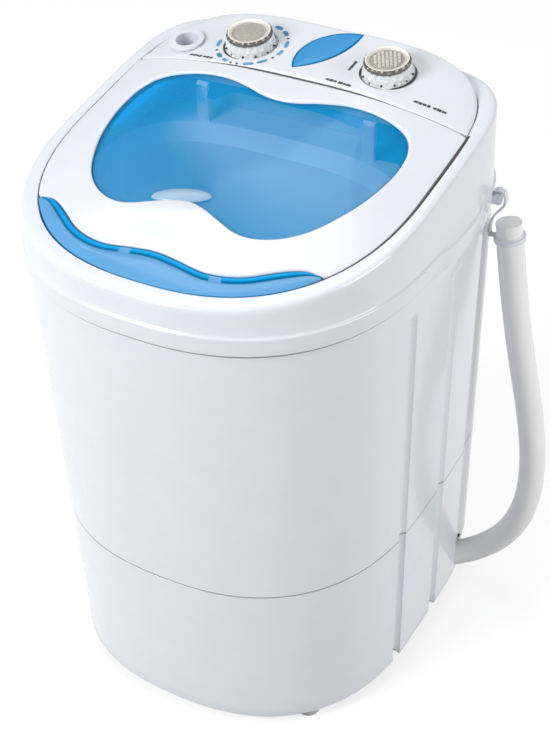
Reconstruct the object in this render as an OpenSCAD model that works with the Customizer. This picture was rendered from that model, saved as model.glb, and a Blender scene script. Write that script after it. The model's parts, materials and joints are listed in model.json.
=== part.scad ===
// Small top-loading washing machine with a hinged lid, two rotary controls and a side drain hose.
// Millimetres. The origin is on the floor under the middle of the machine, +X to its right, +Y to its rear.

/* [Casing] */
// Half of the casing's width at the top frame
half_w = 185; // [170:1:200]
// Reach of the casing forward of its widest line
front_reach = 196; // [185:1:210]
// Reach of the casing behind its widest line
rear_reach = 188; // [180:1:200]
// Roundness exponent of the front
front_round = 2.41; // [2.2:0.01:3]
// Roundness exponent of the rear
rear_round = 5.6; // [4:0.1:8]
// Roundness of the rear corners between the base and the band
back_round = 9.5; // [7:0.1:10]
// Draft angle of the sides
side_draft = 1.28; // [0.5:0.02:2]
// Draft angle of the front
front_draft = 1.78; // [0.5:0.02:2.5]
// Draft of the rear wall, in degrees
rear_draft = 0.2; // [0:0.1:1.5]
// Wall of the moulded casing
wall = 3; // [2:0.1:4]
// Height of the base shell's lower edge
base_z = 12; // [8:1:20]
// Height of the seam between the base and the body
seam_z = 181; // [150:1:220]
// Height of the lower edge of the top frame
band_z = 464.5; // [440:0.5:480]
// Depth of the V cut along the seam
seam_cut = 0.9; // [0.4:0.1:1.5]

/* [Side grooves] */
// Width of a groove
groove_w = 14; // [8:1:18]
// Depth of a groove in the body
groove_depth = 4.5; // [2:0.5:6]
// How far the front groove's middle lies before the widest line
groove_front_y = -34; // [-60:1:-20]
// How far the rear groove's middle lies behind the widest line
groove_rear_y = 50; // [40:1:70]
// Height where the grooves end
groove_top_z = 441; // [400:1:448]
// Height of the notch where a groove meets the lower edge
notch_h = 9; // [4:1:15]
// Depth of the step where the rear part of the casing begins
step_depth = 6.5; // [2:0.5:8]
// Place of that step behind the widest line
step_y = 116; // [105:1:135]

/* [Deck] */
// Height of the deck plane at the widest line
deck_z = 535.6; // [520:0.2:550]
// Rise angle of the deck towards the rear
deck_tilt = 8.5; // [5:0.1:11]
// Height of the crown over the deck plane
crown = 17; // [12:0.5:19]
// How far the bead stands out
bead_out = 2; // [1:0.5:3]
// Height of the bead
bead_z = 481; // [476:1:488]
// How far a hand grip stands out
grip_out = 6; // [3:0.5:9]
// Middle of a hand grip behind the widest line
grip_y = 52; // [35:1:65]
// Length of a hand grip
grip_l = 104; // [80:1:120]
// Depth of the finger recess under a hand grip
recess_depth = 8; // [4:0.5:10]
// Height of that recess
recess_h = 18; // [12:1:20]
// Depth of the seat under the lid's edge
seat_depth = 8.3; // [7:0.1:10]
// Width of that seat
seat_w = 10; // [7:0.5:12]
// Depth of the tub's flange below the deck plane
flange_depth = 30; // [28:1:34]

/* [Lid] */
// Half of the lid's width
lid_half_w = 170.7; // [165:0.1:173]
// Reach of the lid forward of its middle
lid_front = 184; // [178:0.5:186]
// Place of the lid's middle behind the widest line
lid_mid_y = 5.6; // [0:0.1:10]
// Roundness exponent of the lid's front
lid_round = 2.46; // [2.3:0.01:2.8]
// Place of the hinge axis behind the widest line
hinge_y = 90.5; // [86:0.5:94]
// Height of the hinge axis below the crown
hinge_drop = 4.4; // [4.2:0.1:5]
// Gap between the lid and what surrounds it
lid_gap = 1; // [0.8:0.1:2]
// Thickness of the white lid frame
frame_t = 2.2; // [1.6:0.1:3]
// Thickness of the clear lid panel
pane_t = 2.5; // [2:0.1:3]
// Radius of a hinge pin
pin_r = 1.2; // [1:0.1:1.3]
// Running clearance of pins and shafts, radial
run_gap = 0.05; // [0.02:0.01:0.1]
// Place of a hinge lug from the middle
lug_x = 51; // [45:1:56]
// Width of a hinge lug
lug_w = 8; // [6:0.5:10]

/* [Controls] */
// Place of the wash timer's axis to the left of the middle
wash_x = 68; // [64:0.5:70]
// Place of the wash timer's axis behind the widest line
wash_y = 128.5; // [126:0.5:132]
// Place of the mode switch's axis to the right of the middle
mode_x = 73; // [70:0.5:76]
// Place of the mode switch's axis behind the widest line
mode_y = 133; // [128:0.5:135]
// Radius of the well that a knob turns in
well_r = 26.5; // [26:0.5:28]
// Depth of the well at the knob's axis
well_depth = 3.2; // [2.6:0.1:4]
// Radius of a knob's skirt at its foot
skirt_r = 24.5; // [23:0.5:25]
// Radius of the metal bezel
bezel_r = 22; // [20:0.5:22.5]
// Height of a knob's skirt
skirt_h = 12.5; // [10:0.5:15]
// Height of the bezel
bezel_h = 5; // [4:0.5:7]
// Radius of a control shaft
shaft_r = 3; // [2.5:0.1:4]
// Bore radius of the water inlet
inlet_r = 11; // [9:0.5:12]

/* [Tub] */
// Half of the tub's width
tub_half_w = 142; // [130:1:146]
// Place of the tub's axis behind the widest line
tub_y = -24; // [-30:1:-18]
// Reach of the tub forward of its axis
tub_front = 140; // [130:1:145]
// Reach of the tub behind its axis
tub_rear = 86; // [80:1:90]
// Height of the tub's floor
tub_floor_z = 215; // [205:1:230]
// Wall of the tub
tub_wall = 2.5; // [2:0.1:3]
// Radius of the pulsator
pulsator_r = 72; // [60:1:76]

/* [Drive] */
// Radius of the drive shaft
drive_r = 6; // [5:0.5:8]
// Pitch radius of the driven pulley
driven_r = 48; // [40:1:50]
// Pitch radius of the motor pulley
motor_pulley_r = 15; // [12:1:20]
// Height of the belt's middle
belt_z = 140; // [130:1:150]
// Motor axis, from the middle
motor_x = -78; // [-85:1:-70]
// Motor axis, behind the widest line
motor_y = 88; // [80:1:94]
// Radius of the motor
motor_r = 50; // [42:1:52]

/* [Hose] */
// Outer radius of the drain hose
hose_r = 13; // [11:0.5:14]
// Wall of the drain hose
hose_wall = 2; // [1.5:0.1:3]

/* [Hidden] */
$fn = 48;

white = [0.93, 0.94, 0.96];
blue = [0.1, 0.55, 0.9, 0.6];
steel = [0.72, 0.72, 0.72];
grey = [0.8, 0.8, 0.8];
dark = [0.25, 0.25, 0.27];

// Half the difference of the two reaches puts the origin in the middle of the bead's box
widest_y = (front_reach - rear_reach) / 2;
slope = tan(deck_tilt);
seat_gap = 0.3;
face_gap = 0.2;

// Deck plane and crowned surface, in the frame whose y is 0 at the widest line
function deck(y) = deck_z + slope * y;
function lid_rho(x, y) = min(1, pow(pow(abs(x) / lid_half_w, lid_round)
    + pow(max(lid_mid_y - y, 0) / lid_front, lid_round), 1 / lid_round));
function dome(x, y) = deck(y) + crown * (1 - pow(lid_rho(x, y), 3));

// Radius of a rounded outline at angle a, with its own reach and roundness before and behind
function outline_r(a, w, front, rear, n_front, n_rear) =
    let (n = sin(a) < 0 ? n_front : n_rear, d = sin(a) < 0 ? front : rear)
    pow(pow(abs(cos(a)) / w, n) + pow(abs(sin(a)) / d, n), -1 / n);
function at_angle(a, r, y0, z) = [r * cos(a), y0 + r * sin(a), z];
function between(a, b, n) = [for (i = [1 : n - 1]) a + (b - a) * i / n];
function ramp(t) = let (c = max(0, min(1, t))) c * c * (3 - 2 * c);

// Value of a table of [angle, value] pairs at angle a, by a cubic through its neighbours
function slope_at(t, i) = let (p = max(i - 1, 0), q = min(i + 1, len(t) - 1))
    (p == i || q == i) ? 0 : (t[q][1] - t[p][1]) / (t[q][0] - t[p][0]);
function table_at(t, a) =
    let (i = max([for (k = [0 : len(t) - 2]) t[k][0] <= a ? k : 0]),
        h = t[i + 1][0] - t[i][0],
        u = (a - t[i][0]) / h)
    (2 * u ^ 3 - 3 * u ^ 2 + 1) * t[i][1] + (u ^ 3 - 2 * u ^ 2 + u) * h * slope_at(t, i)
    + (3 * u ^ 2 - 2 * u ^ 3) * t[i + 1][1] + (u ^ 3 - u ^ 2) * h * slope_at(t, i + 1);
// Angle folded to the right half, from -90 at the front to 90 at the rear
function folded(a) = a > 90 ? 180 - a : a;

// Solid through a list of rings: a hollow shell when looped, otherwise closed by fans at both ends
module skin(rings, looped = false) {
    n = len(rings[0]);
    m = len(rings);
    ends = looped ? [] : [mean(rings[0]), mean(rings[m - 1])];
    last = looped ? m - 1 : m - 2;
    side = [for (j = [0 : last], i = [0 : n - 1], half = [0, 1])
        let (k = (i + 1) % n, up = ((j + 1) % m) * n)
        half == 0 ? [j * n + i, up + i, up + k] : [j * n + i, up + k, j * n + k]];
    caps = looped ? [] : [for (i = [0 : n - 1], half = [0, 1]) let (k = (i + 1) % n)
        half == 0 ? [i, k, m * n] : [(m - 1) * n + k, (m - 1) * n + i, m * n + 1]];
    polyhedron(points = concat([for (r = rings) each r], ends), faces = concat(side, caps));
}
function mean(r) = [for (k = [0 : 2]) sum([for (p = r) p[k]]) / len(r)];
function sum(v, i = 0) = i < len(v) ? v[i] + sum(v, i + 1) : 0;

// Moves the frame whose y is 0 at the widest line to the machine's own origin
module placed() {
    translate([0, widest_y, 0]) children();
}

// Casing
body_half_w = half_w - 1;
body_front = front_reach - 1;
body_rear = rear_reach - 6;
groove_front_a = asin(groove_front_y / body_half_w);
groove_rear_a = asin(groove_rear_y / body_half_w);
groove_half_a = asin(groove_w / 2 / body_half_w);
step_a = atan(step_y / body_half_w);
groove_steps = [-1, -0.6, 0, 0.6, 1];
right_angles = concat([-90], between(-90, groove_front_a - groove_half_a, 15),
    [for (u = groove_steps) groove_front_a + u * groove_half_a],
    between(groove_front_a + groove_half_a, groove_rear_a - groove_half_a, 4),
    [for (u = groove_steps) groove_rear_a + u * groove_half_a],
    between(groove_rear_a + groove_half_a, step_a, 3), [step_a, step_a + 0.5],
    [for (i = [1 : 9]) max(step_a + 0.6 + i * 0.3, atan(pow(tan(i * 9.5), 1 / (back_round - 1))))],
    [62, 75, 90]);
side_angles = concat(right_angles, [for (i = [len(right_angles) - 2 : -1 : 1]) 180 - right_angles[i]]);

function groove_at(a) = max([for (g = [groove_front_a, groove_rear_a])
    1 - min(1, ((folded(a) - g) / groove_half_a) ^ 2)]);
function stepped(a) = folded(a) > step_a + 0.25 ? 1 : 0;
function body_r(a, z, back = false) = outline_r(a, body_half_w - (band_z - z) * tan(side_draft),
    body_front - (band_z - z) * tan(front_draft),
    body_rear - (band_z - z) * tan(rear_draft), front_round, back ? back_round : rear_round);
function body_ring(z, inset, cut, step, notch = 0, recess = 0) = [for (a = side_angles)
    at_angle(a, body_r(a, z, step * stepped(a) > 0) - inset - cut * groove_at(a) - step * stepped(a)
        - recess * grip_at(a), 0, z + notch * groove_at(a))];
// Share of the full hand grip at angle a, fading out towards its ends
function grip_at(a) = let (y = half_w * tan(max(-60, min(60, folded(a)))))
    ramp(1.6 - abs(y - grip_y) / (grip_l / 2) * 1.6);

base_cut = groove_depth * 1.3;
groove_run = 9;
// Below this height the rear part of the base isn't set back
flush_z = 34;
flush_run = 8;
module base_shell() {
    color(white) placed() difference() {
        skin([
            body_ring(base_z, 0, base_cut, 0, notch_h),
            body_ring(flush_z, 0, base_cut, 0),
            body_ring(flush_z + flush_run, 0, base_cut, step_depth),
            body_ring(seam_z - seam_cut, 0, base_cut, step_depth),
            body_ring(seam_z, seam_cut, base_cut, step_depth),
            body_ring(seam_z, wall, base_cut, step_depth),
            body_ring(flush_z + flush_run, wall, base_cut, step_depth),
            body_ring(flush_z, wall, base_cut, 0),
            body_ring(base_z, wall, base_cut, 0, notch_h)], looped = true);
        skin(tube_rings([for (i = [0 : 3]) hose_route[i]], hose_r + seat_gap, 2 * hose_sides));
    }
}

cover_w = 196;
cover_h = 250;
cover_rise = 10;
cover_mid_z = seam_z + cover_rise + cover_h / 2;
opening_margin = 14;
module body_shell() {
    color(white) placed() difference() {
        skin([
            body_ring(seam_z + seam_cut, 0, groove_depth, step_depth),
            body_ring(groove_top_z - groove_run, 0, groove_depth, step_depth),
            body_ring(groove_top_z, 0, 0, step_depth),
            body_ring(max(band_z - recess_h, groove_top_z + groove_run), 0, 0, 0),
            body_ring(band_z - face_gap, 0, 0, 0, 0, recess_depth),
            body_ring(band_z - face_gap, wall, 0, 0, 0, recess_depth),
            body_ring(max(band_z - recess_h, groove_top_z + groove_run), wall, 0, 0),
            body_ring(groove_top_z - groove_run, wall, groove_depth, step_depth),
            body_ring(seam_z + face_gap, wall, groove_depth, step_depth),
            body_ring(seam_z + face_gap, seam_cut, groove_depth, step_depth)], looped = true);
        translate([0, body_rear, cover_mid_z])
            cube([cover_w - 2 * opening_margin, 60, cover_h - 2 * opening_margin], center = true);
    }
}

// Rear cover, a ribbed plate screwed over the opening
cover_t = 2.5;
// Direction of the cover's side edges from the middle, where the wall stands highest
cover_a = atan(body_rear / (cover_w / 2));
module on_rear() {
    placed() translate([0, body_r(90, cover_mid_z) - step_depth * sin(cover_a) + face_gap, cover_mid_z])
        rotate([-rear_draft, 0, 0]) children();
}
cover_spots = [for (x = [-1, 1], z = [-1, 0, 1]) [x * (cover_w / 2 - 7), z * (cover_h / 2 - 7)]];
gland_spot = [60, -cover_h / 2 + 40];
gland_r = 8;
module rear_cover() {
    color(white) on_rear() difference() {
        union() {
            translate([0, cover_t / 2, 0]) cube([cover_w, cover_t, cover_h], center = true);
            translate([0, cover_t, 0]) for (i = [-3 : 3])
                translate([0, 0.6, 40 + i * 12]) cube([110, 1.2, 4], center = true);
        }
        for (p = cover_spots) translate([p[0], -1, p[1]]) rotate([-90, 0, 0]) cylinder(h = 10, r = 2.2);
        translate([gland_spot[0], -1, gland_spot[1]]) rotate([-90, 0, 0]) cylinder(h = 10, r = gland_r + face_gap);
    }
}
module rear_cover_screws() {
    color(steel) on_rear() for (p = cover_spots) translate([p[0], 0.2, p[1]]) rotate([-90, 0, 0]) {
        cylinder(h = cover_t, r = 2);
        translate([0, 0, cover_t]) cylinder(h = 2, r = 4);
    }
}
module cord_gland() {
    color(dark) on_rear() translate([gland_spot[0], 0, gland_spot[1]]) rotate([-90, 0, 0]) difference() {
        union() {
            translate([0, 0, -3]) cylinder(h = 6 + cover_t, r = gland_r);
            translate([0, 0, cover_t + 0.2]) cylinder(h = 2.4, r = gland_r + 3);
            translate([0, 0, -3]) cylinder(h = 2.6, r = gland_r + 2);
        }
        translate([0, 0, -4]) cylinder(h = 20, r = 3.6);
    }
}

// Base plate with its stiffening ribs, and the rubber feet
plate_t = 3;
plate_z = base_z + 1.5;
plate_notch = 8;
foot_x = 120;
foot_y = 123;
foot_r = 12;
module base_plate() {
    color(grey) placed() difference() {
        union() {
            skin([body_ring(plate_z, wall + face_gap, base_cut + plate_notch, 0),
                body_ring(plate_z + plate_t, wall + face_gap, base_cut + plate_notch, 0)]);
            for (x = [-1, 1], y = [-1, 1]) translate([x * foot_x, y * foot_y, base_z - 2])
                cylinder(h = plate_z - base_z + 2.5, r = foot_r);
        }
        at_outlet() translate([-30, -hose_r - 4, -22]) cube([60, 2 * hose_r + 8, 60]);
        for (x = [-1, 1], y = [-1, 1]) translate([x * foot_x, y * foot_y, -1])
            cylinder(h = base_z + 9, r = foot_r - 3.8);
    }
}
module feet() {
    color(dark) placed() for (x = [-1, 1], y = [-1, 1]) translate([x * foot_x, y * foot_y, 0]) {
        cylinder(h = base_z - 2.2, r1 = foot_r - 1, r2 = foot_r);
        cylinder(h = plate_z + plate_t - 0.1, r = foot_r - 4);
    }
}

// Top frame: skirt, bead, wall, rim, lid seat and the wall down to the tub
deck_angles = [for (i = [0 : 75]) -90 + i * 360 / 76];
function frame_ring(inset, z, on_deck, grip = 0) = [for (a = deck_angles)
    let (r = outline_r(a, half_w - inset, front_reach - inset, rear_reach - inset, front_round, rear_round)
            + grip * grip_at(a),
        p = at_angle(a, r, 0, 0))
    [p[0], p[1], on_deck ? deck(p[1]) + z : z]];
// Outline of the lid and the control panel together, grown or shrunk by grow
panel_reach = 175;
panel_round = 4.6;
function lid_ring_r(a, grow) = outline_r(a, lid_half_w + grow, lid_front + grow, panel_reach + grow,
    lid_round, panel_round);
function seat_ring(grow, depth) = [for (a = deck_angles)
    let (p = at_angle(a, lid_ring_r(a, grow), lid_mid_y, 0)) [p[0], p[1], deck(p[1]) - depth]];
funnel_t = 2.5;
module top_frame() {
    color(white) placed() skin([
        frame_ring(0, band_z, false, grip_out),
        frame_ring(0, bead_z - 3, false, grip_out),
        frame_ring(-bead_out, bead_z, false, grip_out * 0.85),
        frame_ring(0, bead_z + 3.5, false, grip_out * 0.85),
        frame_ring(0.4, bead_z + 14, false, grip_out * 0.15),
        frame_ring(0.6, -4.5, true),
        frame_ring(1.9, -1.2, true),
        frame_ring(5, 0, true),
        seat_ring(lid_gap + 0.6, 0),
        seat_ring(lid_gap, 0.6),
        seat_ring(lid_gap, seat_depth),
        seat_ring(-seat_w, seat_depth),
        seat_ring(-seat_w, flange_depth - face_gap),
        seat_ring(-seat_w + funnel_t, flange_depth - face_gap),
        seat_ring(-seat_w + funnel_t, seat_depth + wall),
        frame_ring(0.6 + wall, -seat_depth - wall, true),
        frame_ring(wall, bead_z + 14, false),
        frame_ring(wall, bead_z, false, -recess_depth),
        frame_ring(wall, band_z, false, -recess_depth)], looped = true);
}

// Wash tub: sloping flange, drawn-in walls, round sump with the shaft boss, and the two lid posts
tub_angles = [for (i = [0 : 59]) -90 + i * 6];
tub_taper = 10;
sump_r = 80;
sump_depth = 14;
tub_corner = 22;
function tub_ring(grow, z, on_deck = false) = [for (a = tub_angles)
    let (p = at_angle(a, outline_r(a, tub_half_w + grow, tub_front + grow, tub_rear + grow, 2.3, 3), tub_y, 0))
    [p[0], p[1], on_deck ? deck(p[1]) - z : z]];
function flange_ring(grow, depth) = [for (a = tub_angles)
    let (p = at_angle(a, outline_r(a, lid_half_w + grow, lid_front + grow, 112, lid_round, 4), lid_mid_y, 0))
    [p[0], p[1], deck(p[1]) - depth]];
flange_t = 2.5;
post_x = 86;
post_y = 71;
post_h = 36;
boss_r = 17;
module wash_tub() {
    color([0.85, 0.9, 0.97]) placed() difference() {
        union() {
            skin([
                tub_ring(tub_wall - tub_taper - tub_corner, tub_floor_z - tub_wall),
                tub_ring(tub_wall - tub_taper - 4, tub_floor_z + 4),
                tub_ring(tub_wall - tub_taper, tub_floor_z + tub_corner),
                tub_ring(tub_wall, flange_depth + 16, true),
                tub_ring(tub_wall + 8, flange_depth + flange_t, true),
                flange_ring(-4, flange_depth + flange_t),
                flange_ring(-4, flange_depth),
                tub_ring(9, flange_depth, true),
                tub_ring(0, flange_depth + 15, true),
                tub_ring(-tub_taper, tub_floor_z + tub_corner),
                tub_ring(-tub_taper - 5, tub_floor_z + 4.6),
                tub_ring(-tub_taper - tub_corner, tub_floor_z)]);
            translate([0, tub_y, tub_floor_z - sump_depth - tub_wall])
                cylinder(h = sump_depth + tub_wall - 0.5, r = sump_r + tub_wall);
            for (x = [-1, 1]) translate([x * post_x, post_y, deck(post_y) - flange_depth - 2]) {
                translate([-6, -4, 0]) cube([12, 8, post_h]);
                translate([-1.5, 4, 0]) cube([3, 6, post_h - 12]);
                translate([-6, 0, post_h]) rotate([0, 90, 0]) cylinder(h = 12, r = 4);
            }
        }
        translate([0, tub_y, tub_floor_z - sump_depth]) cylinder(h = sump_depth + 40, r = sump_r);
        translate([0, tub_y, tub_floor_z - 60]) cylinder(h = 60, r = boss_r + 0.05);
        translate([drain_x, drain_y, tub_floor_z - 60]) cylinder(h = 60, r = drain_r + 0.05);
    }
}

// Pulsator with curved vanes, its screw and the drive line below
pulsator_z = tub_floor_z - sump_depth + 4;
module pulsator() {
    color([0.9, 0.93, 0.98]) placed() translate([0, tub_y, pulsator_z]) difference() {
        union() {
            rotate_extrude() polygon([[0, 0], [pulsator_r - 4, 0], [pulsator_r, 4], [pulsator_r - 2, 6.5],
                [40, 9], [22, 14], [14, 22], [0, 24]]);
            for (i = [0 : 3]) rotate(i * 90) hull() {
                translate([12, 0, 5]) cylinder(h = 14, r1 = 8, r2 = 4, $fn = 24);
                translate([pulsator_r - 14, 8, 5]) cylinder(h = 8, r1 = 6, r2 = 3, $fn = 24);
            }
        }
        translate([0, 0, -1]) cylinder(h = 30, r = drive_r + 0.02);
        translate([0, 0, 20]) cylinder(h = 10, r = 9);
    }
}
module pulsator_screw() {
    color(steel) placed() translate([0, tub_y, pulsator_z + 20]) {
        cylinder(h = 3, r = 8);
        translate([0, 0, 3]) cylinder(h = 1.5, r1 = 7, r2 = 5);
    }
}
drive_low_z = belt_z - 14;
module drive_shaft() {
    color(steel) placed() translate([0, tub_y, drive_low_z])
        cylinder(h = pulsator_z + 20 - drive_low_z, r = drive_r);
}
housing_top_z = tub_floor_z - sump_depth;
housing_low_z = belt_z + 14;
module bearing_housing() {
    color(grey) placed() translate([0, tub_y, 0]) difference() {
        union() {
            translate([0, 0, housing_low_z]) cylinder(h = housing_top_z - housing_low_z, r = boss_r);
            translate([0, 0, housing_top_z - tub_wall - 6.2]) cylinder(h = 6, r = 34);
            for (i = [0 : 5]) rotate(i * 60) translate([boss_r - 1, -1.5, housing_low_z + 8])
                cube([14, 3, housing_top_z - housing_low_z - 18]);
        }
        translate([0, 0, housing_low_z - 1]) cylinder(h = 90, r = drive_r + run_gap);
        translate([0, 0, housing_top_z - 7]) cylinder(h = 20, r = seal_r + 0.02);
    }
}
seal_r = 12;
module shaft_seal() {
    color(dark) placed() translate([0, tub_y, housing_top_z - 7]) difference() {
        cylinder(h = 6.5, r = seal_r);
        translate([0, 0, -1]) cylinder(h = 10, r = drive_r + run_gap);
    }
}
belt_h = 8;
belt_t = 5;
groove_flank = 4;
module pulley(pitch_r, bore_r) {
    difference() {
        rotate_extrude() polygon([[0, -9], [pitch_r + groove_flank, -9], [pitch_r + groove_flank, -7],
            [pitch_r - belt_t, -belt_h / 2 - 0.3], [pitch_r - belt_t, belt_h / 2 + 0.3],
            [pitch_r + groove_flank, 7], [pitch_r + groove_flank, 9], [0, 9]]);
        translate([0, 0, -20]) cylinder(h = 40, r = bore_r);
    }
}
module driven_pulley() {
    color(dark) placed() translate([0, tub_y, belt_z]) difference() {
        pulley(driven_r, drive_r + 0.02);
        for (i = [0 : 5]) rotate(i * 60) translate([driven_r * 0.52, 0, -20]) cylinder(h = 40, r = driven_r * 0.17);
    }
}
module motor_pulley() {
    color(dark) placed() translate([motor_x, motor_y, belt_z]) pulley(motor_pulley_r, motor_shaft_r + 0.02);
}

// Belt: a band round both pulleys, between its two outer tangents
belt_gap = 0.3;
belt_span = norm([motor_x, motor_y - tub_y]);
belt_dir = atan2(motor_y - tub_y, motor_x);
function belt_line(grow) = let (r1 = driven_r + grow, r2 = motor_pulley_r + grow,
        lean = acos((r1 - r2) / belt_span))
    concat([for (i = [0 : 24]) let (a = lean + (360 - 2 * lean) * i / 24) [r1 * cos(a), r1 * sin(a)]],
        [for (i = [0 : 12]) let (a = -lean + 2 * lean * i / 12) [belt_span + r2 * cos(a), r2 * sin(a)]]);
module drive_belt() {
    color(dark) placed() translate([0, tub_y, belt_z - belt_h / 2]) rotate(belt_dir) linear_extrude(belt_h)
        difference() {
            polygon(belt_line(-0.2));
            polygon(belt_line(-belt_t + belt_gap + 0.4));
        }
}

// Motor on its bracket, capacitor beside it
bracket_z = plate_z + plate_t;
bracket_t = 3;
leg_h = 8;
leg_x = 25;
bracket_w = 2 * motor_r - 12;
motor_low_z = bracket_z + leg_h + bracket_t;
motor_h = 82;
motor_shaft_r = 5;
module motor() {
    color(steel) placed() translate([motor_x, motor_y, motor_low_z]) difference() {
        union() {
            cylinder(h = motor_h, r = motor_r - 4);
            translate([0, 0, 14]) cylinder(h = motor_h - 28, r = motor_r);
            cylinder(h = motor_h + 6, r = 14);
        }
        translate([0, 0, 20]) cylinder(h = motor_h, r = motor_shaft_r + run_gap);
    }
}
module motor_shaft() {
    color(steel) placed() translate([motor_x, motor_y, motor_low_z + 20.1])
        cylinder(h = belt_z + 12 - motor_low_z - 20, r = motor_shaft_r);
}
module motor_bracket() {
    color(steel) placed() translate([motor_x, motor_y, bracket_z]) difference() {
        union() {
            translate([0, 0, leg_h + bracket_t / 2]) cube([bracket_w, bracket_w, bracket_t], center = true);
            for (x = [-1, 1], y = [-1, 1]) translate([x * leg_x, y * leg_x, 0]) cylinder(h = leg_h + 1, r = 7);
        }
        for (x = [-1, 1], y = [-1, 1]) translate([x * leg_x, y * leg_x, -1]) cylinder(h = 30, r = 2.6);
        translate([0, 0, -1]) cylinder(h = 30, r = 16);
    }
}
cap_x = 85 - half_w;
cap_y = -40;
cap_r = 20;
cap_h = 62;
module capacitor() {
    color(dark) placed() translate([cap_x, cap_y, bracket_z]) {
        cylinder(h = cap_h, r = cap_r);
        translate([0, 0, cap_h]) cylinder(h = 5, r = cap_r - 6);
        for (x = [-5, 5]) translate([x, 0, cap_h + 5]) cube([2, 6, 8], center = true);
    }
}

// Chosen points on the middle line of the drain hose, from inside the casing to its free end:
// how far each lies outside the widest half width, behind the widest line and above the floor
hose_points = [[-25, 119, 24.8], [-12, 122.4, 30.1], [0.2, 125.3, 36.9], [11.4, 127.6, 45.2],
    [21.6, 129.3, 54.9], [30.5, 130.4, 65.7], [38, 130.9, 77.4], [44.1, 131, 90], [50.1, 131, 107],
    [54, 131, 124.6], [56.5, 131, 144.4], [57.2, 131, 164.4], [56.5, 131, 184.4], [54.4, 131, 206.3],
    [50.9, 131, 230], [46.2, 131, 255.6], [41, 131, 281], [35.9, 131, 306.5], [31.1, 131, 332.1],
    [26.8, 131, 357.7], [22.9, 131, 383.4], [19.4, 131, 409.7], [15.9, 131, 436]];
hose_route = [for (p = hose_points) [half_w + p[0], p[1], p[2]]];
hose_sides = 10;

// Drain: strainer in the sump, pipe under it, outlet in the side of the casing
drain_r = 9.5;
drain_x = 62;
drain_y = tub_y + 22;
pipe_bore = 7;
spigot_bore = 5.8;
hose_start = hose_route[0];
outlet_dir = unit(hose_route[1] - hose_start);
outlet_yaw = atan2(outlet_dir[1], outlet_dir[0]);
outlet_pitch = asin(outlet_dir[2]);
// Frame at the start of the hose, with its Z along the outlet
module at_outlet() {
    translate(hose_start) rotate([0, 0, outlet_yaw]) rotate([0, 90 - outlet_pitch, 0]) children();
}
module drain_strainer() {
    color(white) placed() translate([drain_x, drain_y, tub_floor_z - sump_depth]) difference() {
        translate([0, 0, -2]) cylinder(h = 4, r = pipe_bore - 0.1);
        for (i = [0 : 5]) rotate(i * 60) translate([4.2, 0, -5]) cylinder(h = 12, r = 1.3);
        translate([0, 0, -5]) cylinder(h = 12, r = 1.3);
    }
}
elbow_r = drain_r + 1;
// The far elbow lies level behind the outlet and has a stub towards it
elbow_back = 34;
stub_l = 14;
elbow_x = hose_start[0] - elbow_back * cos(outlet_yaw);
elbow_y = hose_start[1] - elbow_back * sin(outlet_yaw);
elbow_z = plate_z + plate_t + elbow_r + 0.5;
module drain_pipe() {
    high = tub_floor_z - sump_depth - 0.05;
    run = norm([elbow_x - drain_x, elbow_y - drain_y]);
    turn = atan2(elbow_y - drain_y, elbow_x - drain_x);
    color(grey) placed() translate([drain_x, drain_y, elbow_z]) difference() {
        union() {
            cylinder(h = high - elbow_z, r = drain_r);
            translate([0, 0, -elbow_r]) cylinder(h = 2 * elbow_r, r = elbow_r);
            rotate(turn) rotate([0, 90, 0]) cylinder(h = run, r = drain_r);
            rotate(turn) translate([run, 0, -elbow_r]) cylinder(h = 2 * elbow_r, r = elbow_r);
            rotate(turn) translate([run, 0, 0]) rotate(outlet_yaw - turn) rotate([0, 90, 0])
                cylinder(h = stub_l, r = drain_r);
        }
        translate([0, 0, -pipe_bore + 1]) cylinder(h = high, r = pipe_bore);
        rotate(turn) rotate([0, 90, 0]) cylinder(h = run, r = pipe_bore - 0.2);
        rotate(turn) translate([run, 0, -pipe_bore + 1]) cylinder(h = 2 * pipe_bore - 2, r = pipe_bore - 0.5);
        rotate(turn) translate([run, 0, 0]) rotate(outlet_yaw - turn) rotate([0, 90, 0])
            cylinder(h = 40, r = spigot_bore);
    }
}
// Lowest the flats of the hose's bore come to its axis
hose_clear_r = (hose_r - hose_wall) * cos(180 / hose_sides);
module outlet_run(from, to, r) {
    translate([elbow_x, elbow_y, elbow_z]) rotate(outlet_yaw) rotate([0, 90, 0])
        translate([0, 0, from]) cylinder(h = to - from, r = r);
}
module hose_outlet() {
    color(white) placed() difference() {
        union() {
            outlet_run(stub_l + 0.05, elbow_back - 5, pipe_bore + 1);
            at_outlet() translate([0, 0, -9]) cylinder(h = 6, r = pipe_bore + 1);
            at_outlet() translate([0, 0, -4.2]) cylinder(h = 4, r = hose_r + 0.5);
            at_outlet() translate([0, 0, -1]) cylinder(h = 15, r = hose_clear_r - 0.1);
        }
        outlet_run(0, elbow_back, spigot_bore);
        at_outlet() translate([0, 0, -1]) cylinder(h = 30, r = spigot_bore);
    }
}

// Drain hose, swept with a bore along its route
function unit(v) = v / norm(v);
// Ring of radius r at point p, square to direction d, with its first point towards +Y
function tube_ring(p, d, r, sides) = let (side = unit([0, 1, 0] - d * d[1]), up = cross(d, side))
    [for (i = [0 : sides - 1]) p + r * (side * cos(i * 360 / sides) + up * sin(i * 360 / sides))];
function route_dir(r, k) = k == 0 ? unit(r[1] - r[0])
    : k == len(r) - 1 ? unit(r[k] - r[k - 1]) : unit(r[k + 1] - r[k - 1]);
function tube_rings(path, r, sides) = [for (k = [0 : len(path) - 1])
    tube_ring(path[k], route_dir(path, k), r, sides)];
module drain_hose() {
    inn = tube_rings(hose_route, hose_r - hose_wall, hose_sides);
    color(grey) placed() skin(concat(tube_rings(hose_route, hose_r, hose_sides),
        [for (k = [len(inn) - 1 : -1 : 0]) inn[k]]), looped = true);
}

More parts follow.
